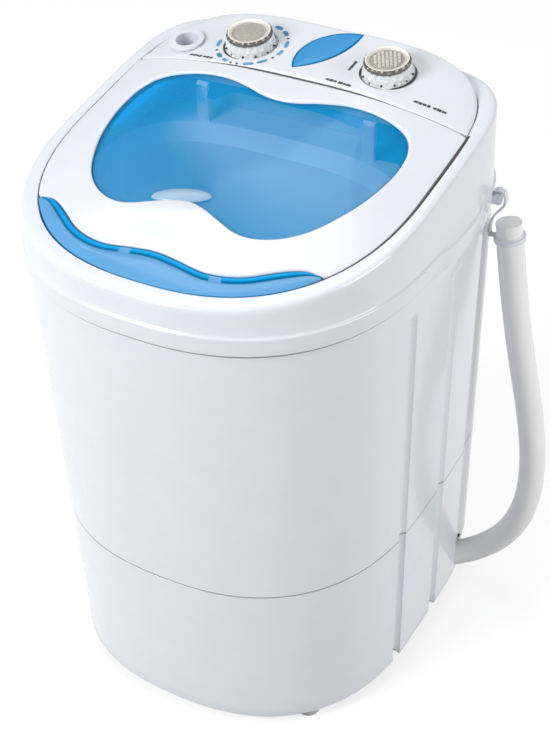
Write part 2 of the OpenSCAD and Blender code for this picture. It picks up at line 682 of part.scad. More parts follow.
// Stoppered end of the hose, and the strap that hangs it on a lug of the top frame
hose_tip = hose_route[len(hose_route) - 1];
tip_dir = route_dir(hose_route, len(hose_route) - 1);
module at_tip() {
    placed() translate(hose_tip) rotate([0, atan2(tip_dir[0], tip_dir[2]), 0]) children();
}
end_h = 12.5;
plug_t = 2.5;
module hose_end() {
    color(grey) at_tip() difference() {
        union() {
            translate([0, 0, 0.2]) cylinder(h = end_h, r = hose_r - 0.8);
            translate([0, 0, -8]) cylinder(h = 10, r = hose_clear_r - 0.1);
        }
        translate([0, 0, -10]) cylinder(h = 10 + end_h - plug_t, r = hose_clear_r - 2);
    }
}
strap_w = 6;
strap_t = 2.2;
collar_h = 4.5;
// Middle line of the strap: how far outside the widest half width, and above the floor
strap_line = [[1.6, 431.5], [-3.5, 431], [-4.4, 437], [-2.5, 447], [1, 454.5], [5.6, 460.6],
    [9.4, 465.5], [10.4, 472], [8.4, 478.6], [3.4, 480.8], [-0.6, 479.3]];
function strip_side(line, off) = [for (k = [0 : len(line) - 1])
    let (d = line[min(k + 1, len(line) - 1)] - line[max(k - 1, 0)], u = d / norm(d))
    line[k] + off * [-u[1], u[0]]];
function reversed(v) = [for (k = [len(v) - 1 : -1 : 0]) v[k]];
module hose_strap() {
    color(white) {
        at_tip() translate([0, 0, -collar_h - 1]) difference() {
            cylinder(h = collar_h, r = hose_r + 2.2);
            translate([0, 0, -1]) cylinder(h = 10, r = hose_r + 0.1);
        }
        placed() translate([half_w, hose_tip[1] + strap_w / 2, 0]) rotate([90, 0, 0]) linear_extrude(strap_w)
            polygon(concat(strip_side(strap_line, strap_t / 2), reversed(strip_side(strap_line, -strap_t / 2))));
    }
}
lug_reach = half_w + 5.4;
lug_root = half_w - 15;
lug_low = 466;
lug_h = 11;
module strap_tab() {
    color(white) placed() difference() {
        translate([0, hose_tip[1], lug_low]) union() {
            translate([lug_root, -4, 0]) cube([lug_reach - lug_root - 3, 8, lug_h - 2]);
            translate([lug_reach - 4, -4, 0]) cube([4, 8, lug_h]);
        }
        translate([0, 0, lug_low - 1]) linear_extrude(lug_h + 2) polygon([for (a = deck_angles)
            let (r = outline_r(a, half_w + 0.1, front_reach + 0.1, rear_reach + 0.1, front_round, rear_round))
            [r * cos(a), r * sin(a)]]);
    }
}

// Lid: the white frame has the window and the front crescent cut out, the clear pane lies under it
lid_angles = [for (i = [0 : 79]) -90 + i * 4.5];
window_table = [[-90, 98.5], [-81, 103.5], [-73, 114], [-66.5, 125], [-60, 133], [-50, 138.5], [-40, 139.5],
    [-25, 137], [-8, 137.2], [6, 140], [16, 141.5], [24, 137.5], [34, 120.5], [46, 97.5], [58, 76],
    [72, 60], [90, 54.5]];
crescent_table = [[-90, 153.5], [-82, 157], [-72, 166.5], [-62, 171], [-52, 171], [-45, 175.5], [-39.5, 188]];
crescent_end = -40;
hinge_z = dome(0, hinge_y) - hinge_drop;
// Height of the crowned surface over the hinge axis, which is the radius of the lid's rear edge there
function rear_round_at(x) = max(lid_gap, dome(x, hinge_y) - hinge_z);
function lid_edge_r(a) = let (s = sin(a), c = abs(cos(a)),
        side = outline_r(a, lid_half_w, lid_front, 1000, lid_round, 40),
        rear_r = (hinge_y - lid_mid_y) / max(s, 0.001),
        bulge = rear_round_at(rear_r * c) / max(s, 0.001))
    s > 0.2 ? min(side, rear_r + bulge) : side;
function in_crescent(a) = folded(a) < crescent_end;
function frame_edge_r(a) = in_crescent(a) ? table_at(crescent_table, folded(a)) : lid_edge_r(a);
function window_r(a) = table_at(window_table, folded(a));
function is_rear(a) = sin(a) > 0.2 && lid_edge_r(a) * sin(a) > hinge_y - lid_mid_y;
function edge_round(a) = is_rear(a) ? rear_round_at(lid_edge_r(a) * cos(a)) / sin(a) : 1.2;
function hump_at(x, y) = 4.5 * exp(-((x / 40) ^ 2 + ((y + 112) / 20) ^ 2));
function lid_point(a, r, lift) = let (p = at_angle(a, r, lid_mid_y, 0))
    [p[0], p[1], dome(p[0], p[1]) + hump_at(p[0], p[1]) + lift];
function edge_ring(t) = [for (a = lid_angles) let (e = edge_round(a), drop = is_rear(a) ? e * sin(a) : e,
        p = lid_point(a, frame_edge_r(a) - e * (1 - sin(90 * t)), 0))
    [p[0], p[1], p[2] - drop * (1 - cos(90 * t))]];
skirt_t = 2.2;
function skirt_z(p, lift) = max(deck(p[1]) - seat_depth + seat_gap, dome(p[0], p[1]) - 10) + lift;
function skirt_ring(inset) = [for (a = lid_angles) let (r = frame_edge_r(a) - inset,
        p = at_angle(a, r, lid_mid_y, 0))
    [p[0], p[1], in_crescent(a) ? dome(p[0], p[1]) + hump_at(p[0], p[1]) - frame_t : skirt_z(p, 0)]];
function mid_ring(t, lift) = [for (a = lid_angles)
    lid_point(a, window_r(a) + t * (frame_edge_r(a) - skirt_t - window_r(a)), lift)];
module lid_frame() {
    color(white) placed() difference() {
        union() {
            skin([
                skirt_ring(0),
                edge_ring(1), edge_ring(0.5), edge_ring(0),
                mid_ring(0.55, 0), mid_ring(0.1, 0.1), mid_ring(0.02, -0.5),
                mid_ring(0, -frame_t),
                mid_ring(0.5, -frame_t),
                mid_ring(1, -frame_t - 0.05),
                skirt_ring(skirt_t)], looped = true);
            for (x = [-1, 1], side = [-1, 1]) translate([x * lug_x + side * (lug_w + 0.6), hinge_y, hinge_z])
                rotate([0, 90, 0]) cylinder(h = lug_w - 0.2, r = barrel_r, center = true);
        }
        for (x = [-1, 1]) translate([x * lug_x, hinge_y, hinge_z]) {
            rotate([0, 90, 0]) cylinder(h = lug_w + 1, r = barrel_r + 0.3, center = true);
            translate([-lug_w / 2 - 0.5, -9, -14.2]) cube([lug_w + 1, 18, 14]);
        }
        for (x = [-1, 1]) translate([x * lug_x, hinge_y, hinge_z])
            rotate([0, 90, 0]) cylinder(h = 3.2 * lug_w, r = pin_r + 0.02, center = true);
    }
}
barrel_r = 2.4;
module lid_hinge_pins() {
    color(steel) placed() for (x = [-1, 1]) translate([x * lug_x, hinge_y, hinge_z])
        rotate([0, 90, 0]) cylinder(h = 3 * lug_w - 2, r = pin_r, center = true);
}
// Hook that carries a hinge pin: it passes under the lid's rolled edge and comes up in front of it
hook_t = 2.6;
hook_from = -120;
hook_to = -152;
function arc(r, a, b, n) = [for (i = [0 : n]) let (t = a + (b - a) * i / n) [r * cos(t), r * sin(t)]];
module hinge_hook() {
    low_r = rear_round_at(lug_x) + 0.5;
    rotate([90, 0, 90]) linear_extrude(lug_w, center = true) difference() {
        union() {
            polygon(concat(arc(low_r, 12, hook_to, 16), arc(low_r + hook_t, hook_to, 12, 16)));
            polygon(concat([[0, 0]], arc(low_r + 1, hook_from, hook_to, 3)));
            circle(r = barrel_r);
        }
        circle(r = pin_r + run_gap);
    }
}

// Clear pane with its raised crescent and a front skirt
pane_gap = 0.3;
pane_drop = 0.35;
function pane_in_front(a) = folded(a) < crescent_end - 4;
// The pane stays further back under the thick rear corners of the frame
function pane_extra(a) = folded(a) > 26 ? 11 : folded(a) > 18 ? 7 : 0;
function pane_edge_r(a) = pane_in_front(a) ? lid_edge_r(a) : frame_edge_r(a) - skirt_t - pane_gap
    - pane_extra(a) - (is_rear(a) ? rear_round_at(lid_edge_r(a) * cos(a)) : 0);
function pane_point(a, r, lift) = let (p = at_angle(a, r, lid_mid_y, 0))
    [p[0], p[1], dome(p[0], p[1]) + hump_at(p[0], p[1]) - frame_t - pane_drop + lift];
function pane_ring(t, lift) = [for (a = lid_angles) pane_point(a, t * pane_edge_r(a), lift)];
function pane_skirt(inset) = [for (a = lid_angles)
    let (r = pane_edge_r(a) - inset, p = at_angle(a, r, lid_mid_y, 0))
    [p[0], p[1], pane_in_front(a) ? skirt_z(p, 0) : dome(p[0], p[1]) + hump_at(p[0], p[1]) - frame_t - pane_drop
        - pane_t - 0.1]];
crescent_half = [for (i = [0 : 16]) -90 + (88 + crescent_end) * i / 16];
crescent_angles = concat([for (i = [16 : -1 : 1]) -180 - crescent_half[i]], crescent_half);
crescent_low = -frame_t - 0.8;
crescent_edge = -1.6;
crescent_top = -0.6;
// Section across the raised crescent at angle a, from its front edge to its upper edge
function crescent_section(a) = let (out = lid_edge_r(a),
        back = min(out - 2.6, table_at(crescent_table, fold_front(a)) + 0.45))
    [lid_point(a, out, crescent_low), lid_point(a, back, crescent_low), lid_point(a, back, crescent_edge),
        lid_point(a, back + 1, crescent_top), lid_point(a, out - 1, crescent_top),
        lid_point(a, out, crescent_edge)];
function fold_front(a) = a < -90 ? -180 - a : a;
module lid_pane() {
    color(blue) placed() {
        skin([
            pane_ring(0.5, -pane_t), pane_ring(0.8, -pane_t), pane_ring(0.96, -pane_t),
            pane_skirt(2), pane_skirt(0),
            pane_ring(1, 0), pane_ring(0.8, 0), pane_ring(0.5, 0)]);
        skin([for (a = crescent_angles) crescent_section(a)]);
    }
}

// Control panel: crowned plate with wells for the knobs, a curtain wall in front and hinge lugs
panel_mid_y = 136;
panel_angles = [for (i = [0 : 59]) -90 + i * 6];
function panel_front_y(x) = hinge_y + rear_round_at(x) + lid_gap;
// Where the ray at angle a from the panel's middle meets its edge
function reach_side(a) = let (c = abs(cos(a)), s = sin(a))
    ray_hit(c, s, 0, lid_half_w + panel_reach, 26);
function ray_in(c, s, t) = let (x = t * c, y = panel_mid_y + t * s,
        q = pow(x / lid_half_w, panel_round) + pow(max(y - lid_mid_y, 0) / panel_reach, panel_round))
    q < 1 && y > panel_front_y(x);
function ray_hit(c, s, lo, hi, n) = n == 0 ? lo
    : let (mid = (lo + hi) / 2) ray_in(c, s, mid) ? ray_hit(c, s, mid, hi, n - 1) : ray_hit(c, s, lo, mid, n - 1);
panel_edges = [for (a = panel_angles) reach_side(a)];
function panel_lift(p) = dome(p[0], p[1]);
function panel_ring(t, inset, lift, round = 0) = [for (i = [0 : len(panel_angles) - 1])
    let (a = panel_angles[i], p = at_angle(a, t * panel_edges[i] - inset, panel_mid_y, 0))
    [p[0], p[1], panel_lift(p) + lift - round * edge_drop(a)]];
function edge_drop(a) = sin(a) < -0.2 ? 0.8 : 3;
function panel_skirt(inset, down) = [for (i = [0 : len(panel_angles) - 1])
    let (a = panel_angles[i], p = at_angle(a, panel_edges[i] - inset, panel_mid_y, 0))
    [p[0], p[1], deck(p[1]) - down]];
panel_t = 3;
wash_place = [-wash_x, wash_y];
mode_place = [mode_x, mode_y];
module panel_tool(p) {
    translate([p[0], p[1], dome(p[0], p[1])]) rotate([deck_tilt, 0, 0]) children();
}
module control_panel() {
    color(white) placed() difference() {
        union() {
            skin([
                panel_ring(0.35, 0, -panel_t), panel_ring(0.7, 0, -panel_t), panel_ring(1, 5, -panel_t - 1.5, 0.5),
                panel_ring(1, 2.5, -panel_t - 4, 0.5),
                panel_skirt(2.5, seat_depth - 0.1), panel_skirt(0, seat_depth - 0.1),
                panel_ring(1, 0, 0, 1), panel_ring(1, 1, 0, 0.45), panel_ring(1, 4, 0),
                panel_ring(0.7, 0, 0), panel_ring(0.35, 0, 0)]);
            for (p = [wash_place, mode_place]) panel_tool(p) translate([0, 0, -well_depth - 2.5])
                cylinder(h = well_depth, r = well_r + 2.5);
            for (x = [-1, 1]) translate([x * lug_x, hinge_y, hinge_z]) hinge_hook();
            translate([-150, panel_front_y(0) + 1.5, deck(hinge_y) - flange_depth + 0.2 + 1.2])
                cube([300, 2.5, flange_depth - 4]);
        }
        for (p = [wash_place, mode_place]) panel_tool(p) {
            translate([0, 0, -well_depth]) cylinder(h = 30, r = well_r);
            translate([0, 0, -20]) cylinder(h = 30, r = shaft_r + 3);
        }
        inlet_place() translate([0, 0, -40]) cylinder(h = 80, r = cup_r + face_gap);
        translate([inlet_x, panel_front_y(0) + 3, inlet_spout_z]) rotate([90, 0, 0])
            cylinder(h = 30, r = spout_r + face_gap, center = true);
        leaf_place() translate([0, 0, -leaf_sink]) linear_extrude(20) leaf_shape(face_gap);
    }
}

// Water inlet cup with a side spout into the tub
inlet_x = -132;
inlet_y = 118;
cup_r = inlet_r + 2;
cup_ring_r = 16.5;
cup_depth = 30;
spout_r = 7;
inlet_spout_z = dome(inlet_x, inlet_y) - 22;
module inlet_place() {
    translate([inlet_x, inlet_y, dome(inlet_x, inlet_y)]) rotate([deck_tilt, 0, 0]) children();
}
module inlet_cup() {
    color([0.95, 0.96, 0.98]) placed() difference() {
        union() {
            inlet_place() {
                translate([0, 0, -cup_depth]) cylinder(h = cup_depth + 3, r = cup_r);
                translate([0, 0, 2.6]) cylinder(h = 2.4, r = cup_ring_r);
            }
            translate([inlet_x, inlet_y, inlet_spout_z]) rotate([90, 0, 0]) cylinder(h = 30, r = spout_r);
        }
        inlet_place() translate([0, 0, -cup_depth + 2]) cylinder(h = 60, r = inlet_r);
        translate([inlet_x, inlet_y, inlet_spout_z]) rotate([90, 0, 0]) cylinder(h = 40, r = spout_r - 1.8);
    }
}

// Leaf-shaped indicator lens between the knobs: two arcs between its tips
leaf_x = 7;
leaf_y = 142;
leaf_l = 80;
leaf_turn = 61;
leaf_bulge = 23.5;
leaf_hollow = 12;
leaf_sink = 1.8;
function arc_side(l, h, n) = let (r = (l * l / 4 + h * h) / (2 * h), half = asin(l / 2 / r))
    [for (i = [0 : n]) let (a = -half + 2 * half * i / n) [r * sin(a), r * cos(a) - r + h]];
function leaf_points(grow) = let (up = arc_side(leaf_l + 2 * grow, leaf_bulge + grow, 14),
        low = arc_side(leaf_l + 2 * grow, leaf_hollow + grow, 14))
    concat([for (i = [14 : -1 : 0]) up[i]], [for (i = [1 : 13]) [low[i][0], -low[i][1]]]);
module leaf_shape(grow) {
    rotate(leaf_turn) polygon(leaf_points(grow));
}
module leaf_place() {
    translate([leaf_x, leaf_y, dome(leaf_x, leaf_y)]) rotate([deck_tilt, 0, 0]) children();
}
function leaf_ring(grow, z) = [for (p = leaf_points(grow))
    [p[0] * cos(leaf_turn) - p[1] * sin(leaf_turn), p[0] * sin(leaf_turn) + p[1] * cos(leaf_turn), z]];
module indicator_lens() {
    color(blue) placed() leaf_place() skin([leaf_ring(0, -leaf_sink + 0.05), leaf_ring(0, 0.2),
        leaf_ring(-1.5, 0.9), leaf_ring(-5, 1.3)]);
}

// Timer and switch bodies under the panel, shafts and knobs over it
case_l = 52;
case_w = 44;
case_h = 26;
module control_case() {
    difference() {
        union() {
            translate([0, 0, -case_h / 2]) cube([case_l, case_w, case_h], center = true);
            for (y = [-1, 1]) translate([0, y * (case_w / 2 + 2.5), -1.5]) cube([14, 6, 3], center = true);
            translate([0, 0, -case_h - 3]) cube([20, 12, 6.1], center = true);
        }
        translate([0, 0, -20]) cylinder(h = 30, r = shaft_r + run_gap);
    }
}
module wash_timer() {
    color(grey) placed() panel_tool(wash_place) translate([0, 0, -well_depth - 2.5 - 0.1]) control_case();
}
module mode_switch() {
    color(grey) placed() panel_tool(mode_place) translate([0, 0, -well_depth - 2.5 - 0.1]) control_case();
}
knob_lift = 0.6;
shaft_top = skirt_h - 3;
module control_shaft() {
    translate([0, 0, -well_depth - 18]) cylinder(h = 18 + knob_lift + shaft_top, r = shaft_r);
}
module knob_skirt() {
    translate([0, 0, -well_depth + knob_lift]) difference() {
        rotate_extrude() polygon([[0, skirt_h - 2], [bezel_r - 3, skirt_h - 2], [skirt_r - 2.2, 0], [skirt_r, 0],
            [skirt_r, 1.5], [bezel_r - 0.6, skirt_h], [0, skirt_h]]);
        for (i = [0 : 19]) rotate(i * 18) translate([skirt_r + 0.6, 0, 2.5]) cylinder(h = skirt_h - 4, r = 1.9);
    }
    translate([0, 0, -well_depth + knob_lift]) difference() {
        cylinder(h = skirt_h - 1, r = 7);
        translate([0, 0, -1]) cylinder(h = shaft_top + 1, r = shaft_r + 0.02);
    }
}
module knob_bezel() {
    translate([0, 0, -well_depth + knob_lift + skirt_h + 0.02]) difference() {
        rotate_extrude() polygon([[disc_r, 0], [bezel_r - 0.4, 0], [bezel_r, 0.8], [bezel_r, bezel_h - 1.6],
            [bezel_r - 1.8, bezel_h], [disc_r + 2.6, bezel_h - 0.3], [disc_r, bezel_h - 1.4]]);
        for (i = [0 : 23]) rotate(i * 15) translate([bezel_r + 1.3, 0, -1]) cylinder(h = bezel_h + 2, r = 1.9);
    }
}
disc_r = 16;
module knob_disc() {
    translate([0, 0, -well_depth + knob_lift + skirt_h + 0.02])
        rotate_extrude() polygon([[0, 0], [disc_r - 0.05, 0], [disc_r - 0.05, bezel_h - 2.2], [0, bezel_h - 1.4]]);
}
module wash_knob_shaft() {
    color(steel) placed() panel_tool(wash_place) control_shaft();
}
module wash_knob_skirt() {
    color(white) placed() panel_tool(wash_place) knob_skirt();
}
module wash_knob_bezel() {
    color(steel) placed() panel_tool(wash_place) knob_bezel();
}
module wash_knob_disc() {
    color([0.7, 0.68, 0.62]) placed() panel_tool(wash_place) knob_disc();
}
module mode_knob_shaft() {
    color(steel) placed() panel_tool(mode_place) control_shaft();
}
module mode_knob_skirt() {
    color(white) placed() panel_tool(mode_place) knob_skirt();
}
module mode_knob_bezel() {
    color(steel) placed() panel_tool(mode_place) knob_bezel();
}
module mode_knob_disc() {
    color([0.7, 0.68, 0.62]) placed() panel_tool(mode_place) knob_disc();
}

// Wiring from the two controls down behind the tub to the motor
loom_r = 3;
motor_top_z = motor_low_z + motor_h;
// Underside of a control's connector, where its wires begin
function case_foot(p) = let (h = well_depth + 2.5 + 0.1 + case_h + 6 + 0.55)
    [p[0], p[1] + h * sin(deck_tilt), dome(p[0], p[1]) - h * cos(deck_tilt)];
loom_left = [case_foot(wash_place), case_foot(wash_place) - [0, 0, 12], [-70, 150, 480], [-72, 152, 400],
    [-76, 152, 260], [-84, 140, 165], [-94, 120, 138], [-99, 106, 126], [-100, 104, motor_top_z + 9],
    [-100, 104, motor_top_z + 0.1]];
loom_right = [case_foot(mode_place), case_foot(mode_place) - [0, 0, 12], [66, 150, 480], [60, 152, 400],
    [20, 152, 260], [-40, 150, 190], [-70, 138, 155], [-81, 120, 138], [-85, 110, 126],
    [-86, 108, motor_top_z + 9], [-86, 108, motor_top_z + 0.1]];
module wiring_loom() {
    color(dark) placed() for (route = [loom_left, loom_right]) skin(tube_rings(route, loom_r, 6));
}

base_shell();
body_shell();
top_frame();
control_panel();
rear_cover();
rear_cover_screws();
cord_gland();
base_plate();
feet();
wash_tub();
pulsator();
pulsator_screw();
drive_shaft();
bearing_housing();
shaft_seal();
driven_pulley();
drive_belt();
motor_pulley();
motor_shaft();
motor();
motor_bracket();
capacitor();
drain_pipe();
drain_strainer();
hose_outlet();
drain_hose();
hose_end();
hose_strap();
strap_tab();
lid_frame();
lid_pane();
lid_hinge_pins();
inlet_cup();
indicator_lens();
wash_timer();
mode_switch();
wash_knob_shaft();
wash_knob_skirt();
wash_knob_bezel();
wash_knob_disc();
mode_knob_shaft();
mode_knob_skirt();
mode_knob_bezel();
mode_knob_disc();
wiring_loom();
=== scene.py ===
import json
import math

import bmesh
import bpy
from mathutils import Matrix, Vector


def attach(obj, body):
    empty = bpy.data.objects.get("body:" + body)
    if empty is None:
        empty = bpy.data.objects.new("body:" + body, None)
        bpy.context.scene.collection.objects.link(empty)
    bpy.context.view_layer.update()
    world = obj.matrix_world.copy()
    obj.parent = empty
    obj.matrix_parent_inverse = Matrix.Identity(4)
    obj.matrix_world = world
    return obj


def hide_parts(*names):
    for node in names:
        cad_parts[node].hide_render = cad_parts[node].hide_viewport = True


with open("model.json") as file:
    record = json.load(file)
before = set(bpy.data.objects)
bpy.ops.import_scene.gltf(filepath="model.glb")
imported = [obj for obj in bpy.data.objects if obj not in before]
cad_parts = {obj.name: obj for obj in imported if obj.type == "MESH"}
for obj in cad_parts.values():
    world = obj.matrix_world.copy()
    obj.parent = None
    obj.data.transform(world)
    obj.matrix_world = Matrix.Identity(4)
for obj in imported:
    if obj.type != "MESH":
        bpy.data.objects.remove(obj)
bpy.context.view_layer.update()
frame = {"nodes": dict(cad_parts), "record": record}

# Sizes are in millimetres, in the frame of the part's source: y is 0 at the casing's widest line
SHIFT_Y = 4.0
MM = 0.001


def put(p):
    """A point of that frame as a point of the model, in metres."""
    return (p[0] * MM, (p[1] + SHIFT_Y) * MM, p[2] * MM)


def link_object(name, data):
    obj = bpy.data.objects.new(name, data)
    bpy.context.scene.collection.objects.link(obj)
    return obj


# Camera
AZIMUTH, ELEVATION, ROLL = 30.662, 37.02, -1.999
CAMERA_AT = (0.652742, -1.059471, 1.241477)
LENS, SENSOR_W, FAR = 79.37, 36, 50


def make_camera():
    az, el, roll = (math.radians(v) for v in (AZIMUTH, ELEVATION, ROLL))
    ahead = Vector((-math.sin(az) * math.cos(el), math.cos(az) * math.cos(el), -math.sin(el)))
    right = ahead.cross(Vector((0, 0, 1))).normalized()
    up = right.cross(ahead)
    side = math.cos(roll) * right + math.sin(roll) * up
    top = -math.sin(roll) * right + math.cos(roll) * up
    data = bpy.data.cameras.new("camera")
    data.lens, data.sensor_width, data.clip_end = LENS, SENSOR_W, FAR
    camera = link_object("camera", data)
    turn = Matrix((side, top, -ahead)).transposed()
    camera.matrix_world = Matrix.Translation(CAMERA_AT) @ turn.to_4x4()
    bpy.context.scene.camera = camera


make_camera()


# Materials
BUMP_DEPTH, FINE_SCALE, EDGE_BLEND, EDGE_SHARE = 0.0004, 12, 0.12, 0.6


def links(tree):
    """Function that joins a node's output to another node's input, by their names."""
    def join(a, out, b, into):
        tree.links.new(a.outputs[out], b.inputs[into])
    return join


def new_material(name):
    m = bpy.data.materials.new(name)
    m.use_nodes = True
    return m, m.node_tree, links(m.node_tree)


def set_inputs(shader, values):
    """Constants on a node's inputs; an underscore in a key stands for a space."""
    for key, value in values.items():
        shader.inputs[key.replace("_", " ")].default_value = value


def node(tree, kind, **values):
    made = tree.nodes.new(kind)
    set_inputs(made, values)
    return made


def mottle(tree, join, shader, colour, vary, scale, detail, edges):
    """Noise that varies a shader's base colour a little; returns the noise and its coordinates."""
    where = node(tree, "ShaderNodeTexCoord")
    noise = node(tree, "ShaderNodeTexNoise", Scale=scale, Detail=detail)
    tint = node(tree, "ShaderNodeValToRGB")
    for stop, edge, share in zip(tint.color_ramp.elements, edges, (1 - vary, 1 + vary)):
        stop.position = edge
        stop.color = [min(1, c * share) for c in colour] + [1]
    join(where, "Object", noise, "Vector")
    join(noise, "Fac", tint, "Fac")
    join(tint, "Color", shader, "Base Color")
    return noise, where


def material(name, colour, rough=0.35, vary=0.03, bump=0.0, scale=60.0, **sockets):
    """Principled material with a slight mottle of its colour and roughness, and a fine bump."""
    m, tree, join = new_material(name)
    shader = tree.nodes["Principled BSDF"]
    noise, where = mottle(tree, join, shader, colour, vary, scale, 4, (0.3, 0.7))
    spread = node(tree, "ShaderNodeMapRange", To_Min=rough * 0.9, To_Max=rough * 1.1)
    join(noise, "Fac", spread, "Value")
    join(spread, "Result", shader, "Roughness")
    if bump:
        relief = node(tree, "ShaderNodeBump", Strength=bump, Distance=BUMP_DEPTH)
        fine = node(tree, "ShaderNodeTexNoise", Scale=scale * FINE_SCALE)
        join(where, "Object", fine, "Vector")
        join(fine, "Fac", relief, "Height")
        join(relief, "Normal", shader, "Normal")
    set_inputs(shader, sockets)
    return m


def clear_plastic(name, tint, body, share, rough=0.06, sheen=(1, 1, 1)):
    """Glossy clear plastic: light goes straight through it, and a share scatters in its colour."""
    m, tree, join = new_material(name)
    tree.nodes.clear()
    out = node(tree, "ShaderNodeOutputMaterial")
    through = node(tree, "ShaderNodeBsdfTransparent", Color=(*tint, 1))
    shader = node(tree, "ShaderNodeBsdfPrincipled", Roughness=rough, Specular_Tint=(*sheen, 1))
    mottle(tree, join, shader, body, 0.06, 14, 2, (0, 1))
    mix = node(tree, "ShaderNodeMixShader")
    facing = node(tree, "ShaderNodeLayerWeight", Blend=EDGE_BLEND)
    spread = node(tree, "ShaderNodeMapRange", To_Min=share, To_Max=min(1, share + EDGE_SHARE))
    join(facing, "Fresnel", spread, "Value")
    join(spread, "Result", mix, "Fac")
    join(through, 0, mix, 1)
    join(shader, 0, mix, 2)
    join(mix, 0, out, "Surface")
    return m


WHITE = material("white_plastic", (0.78, 0.81, 0.88), 0.22, 0.012, 0.04, 40, Coat_Weight=0.3)
TUB = material("tub_plastic", (0.92, 0.94, 0.95), 0.4, 0.02, 0.0, 40)
BLUE = clear_plastic("blue_clear_plastic", (0.97, 0.98, 1.0), (0.01, 0.48, 1.0), 0.31,
                     sheen=(0.4, 0.75, 1.0))
LENS_BLUE = clear_plastic("lens_blue", (0.5, 0.8, 1.0), (0.05, 0.34, 0.74), 0.9, 0.3,
                          (0.5, 0.75, 1.0))
# Deep blue: painted shade on the edges, walls and grooves of the blue clear pieces
EDGE_SHADE_BLUE = clear_plastic("blue_edge_shade", (0.1, 0.4, 0.7), (0.0, 0.15, 0.33), 0.94, 0.3,
                          (0.2, 0.6, 1.0))
CYAN = clear_plastic("bright_cyan", (0.3, 0.8, 1.0), (0.0, 0.36, 0.80), 0.85, 0.2, (0.2, 0.7, 1.0))
LIP_BLUE = clear_plastic("lip_blue", (0.8, 0.9, 1.0), (0.16, 0.47, 0.84), 0.72, 0.16)
# Deep blue sheet that paints the shade under the panel, seen through the window
SHADE_FILTER = clear_plastic("deep_shade_filter", (0.02, 0.80, 0.93), (0.0, 0.46, 0.9), 0.06, 0.1,
                       (0.2, 0.6, 1.0))
# Pale whitish blue: painted reflection on the finger bump
BUMP_REFLECTION_BLUE = clear_plastic("bump_painted_reflection", (0.9, 0.96, 1.0), (0.62, 0.80, 1.0), 0.5, 0.03)
# Grey-blue: painted shade on the wall under the panel
CURTAIN = material("curtain_painted_shade", (0.60, 0.66, 0.72), 0.4, 0.05, 0.05, 60)
SEAM_GREY = material("seam_shade", (0.13, 0.14, 0.155), 0.6, 0.1, 0.05, 90)
# Mid grey: painted shade in the seams of the casing
SEAM_SHADE_PALE = material("seam_painted_shade", (0.33, 0.34, 0.37), 0.6, 0.06, 0.05, 90)
KNOB = material("knob_plastic", (0.93, 0.95, 0.97), 0.06, 0.03, 0.0, 30,
                Transmission_Weight=0.22, Coat_Weight=0.6)
KNOB_RIB = material("knob_rib_plastic", (0.66, 0.64, 0.58), 0.35, 0.12, 0.1, 300, Metallic=0.2)
DISC = material("knob_disc_plastic", (0.40, 0.385, 0.34), 0.45, 0.16, 0.2, 420)
METAL = material("bright_metal", (0.86, 0.83, 0.76), 0.42, 0.04, 0.0, 200, Metallic=0.55)
DARK_METAL = material("knurl_metal", (0.20, 0.19, 0.165), 0.4, 0.15, 0.1, 300, Metallic=0.8)
STEEL = material("steel", (0.48, 0.48, 0.5), 0.34, 0.08, 0.05, 200, Metallic=1.0)
GREY = material("grey_plastic", (0.42, 0.44, 0.47), 0.45, 0.05, 0.1, 80)
ALUMINIUM = material("aluminium_cast", (0.6, 0.6, 0.62), 0.4, 0.06, 0.1, 150, Metallic=1.0)
PALE_RUBBER = material("pale_rubber", (0.55, 0.55, 0.54), 0.6, 0.04, 0.15, 120)
RUBBER = material("dark_rubber", (0.025, 0.025, 0.027), 0.65, 0.1, 0.15, 120)
HOSE = material("hose_plastic", (0.95, 0.95, 0.945), 0.42, 0.015, 0.06, 60)
# Also used for the strips of painted shade at the lid's right edge and in the knobs' wells
DARK = material("dark_plastic", (0.035, 0.035, 0.04), 0.4, 0.1, 0.1, 100)
PRINT_BLUE = material("print_blue", (0.035, 0.23, 0.50), 0.4, 0.12)
PRINT_SKY = material("print_sky", (0.10, 0.32, 0.52), 0.4, 0.12)
PRINT_TEAL = material("print_teal", (0.03, 0.26, 0.30), 0.4, 0.12)
PRINT_GREY = material("print_grey", (0.055, 0.06, 0.07), 0.4, 0.1)
BY_SLOT = {"white_plastic": WHITE, "tub_plastic": TUB, "blue_clear_plastic": BLUE,
           "knob_plastic": KNOB, "knob_disc_plastic": DISC, "bright_metal": METAL, "steel": STEEL,
           "grey_plastic": GREY, "aluminium": ALUMINIUM, "pale_rubber": PALE_RUBBER,
           "dark_rubber": RUBBER, "hose_plastic": HOSE, "dark_plastic": DARK}
for entry in frame["record"]["subparts"]:
    for place in frame["nodes"][entry["node"]].material_slots:
        place.material = BY_SLOT[entry["material_slot"]]


# Mesh helpers
CORNER_STEPS = 4


def piece(name, shape, look, body, replaces=(), smooth=35.0):
    """A mesh piece that rides on a body, with its edges sharp over an angle."""
    points, faces = shape
    mesh = bpy.data.meshes.new(name)
    mesh.from_pydata([put(p) for p in points], [], faces)
    mesh.validate()
    mesh.materials.append(look)
    obj = link_object(name, mesh)
    finish_mesh(obj, smooth)
    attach(obj, body)
    if replaces:
        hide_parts(*replaces)
    return obj


def finish_mesh(obj, smooth):
    """Faces turned outward, shaded smooth with sharp edges over the angle."""
    work = bmesh.new()
    work.from_mesh(obj.data)
    bmesh.ops.recalc_face_normals(work, faces=work.faces)
    work.to_mesh(obj.data)
    work.free()
    obj.data.shade_smooth()
    obj.data.set_sharp_from_angle(angle=math.radians(smooth))


def paint(obj, looks, pick):
    """Gives a piece more looks; pick tells a face's look from its number, 0 being its own."""
    for look in looks:
        obj.data.materials.append(look)
    for k, face in enumerate(obj.data.polygons):
        face.material_index = pick(k)


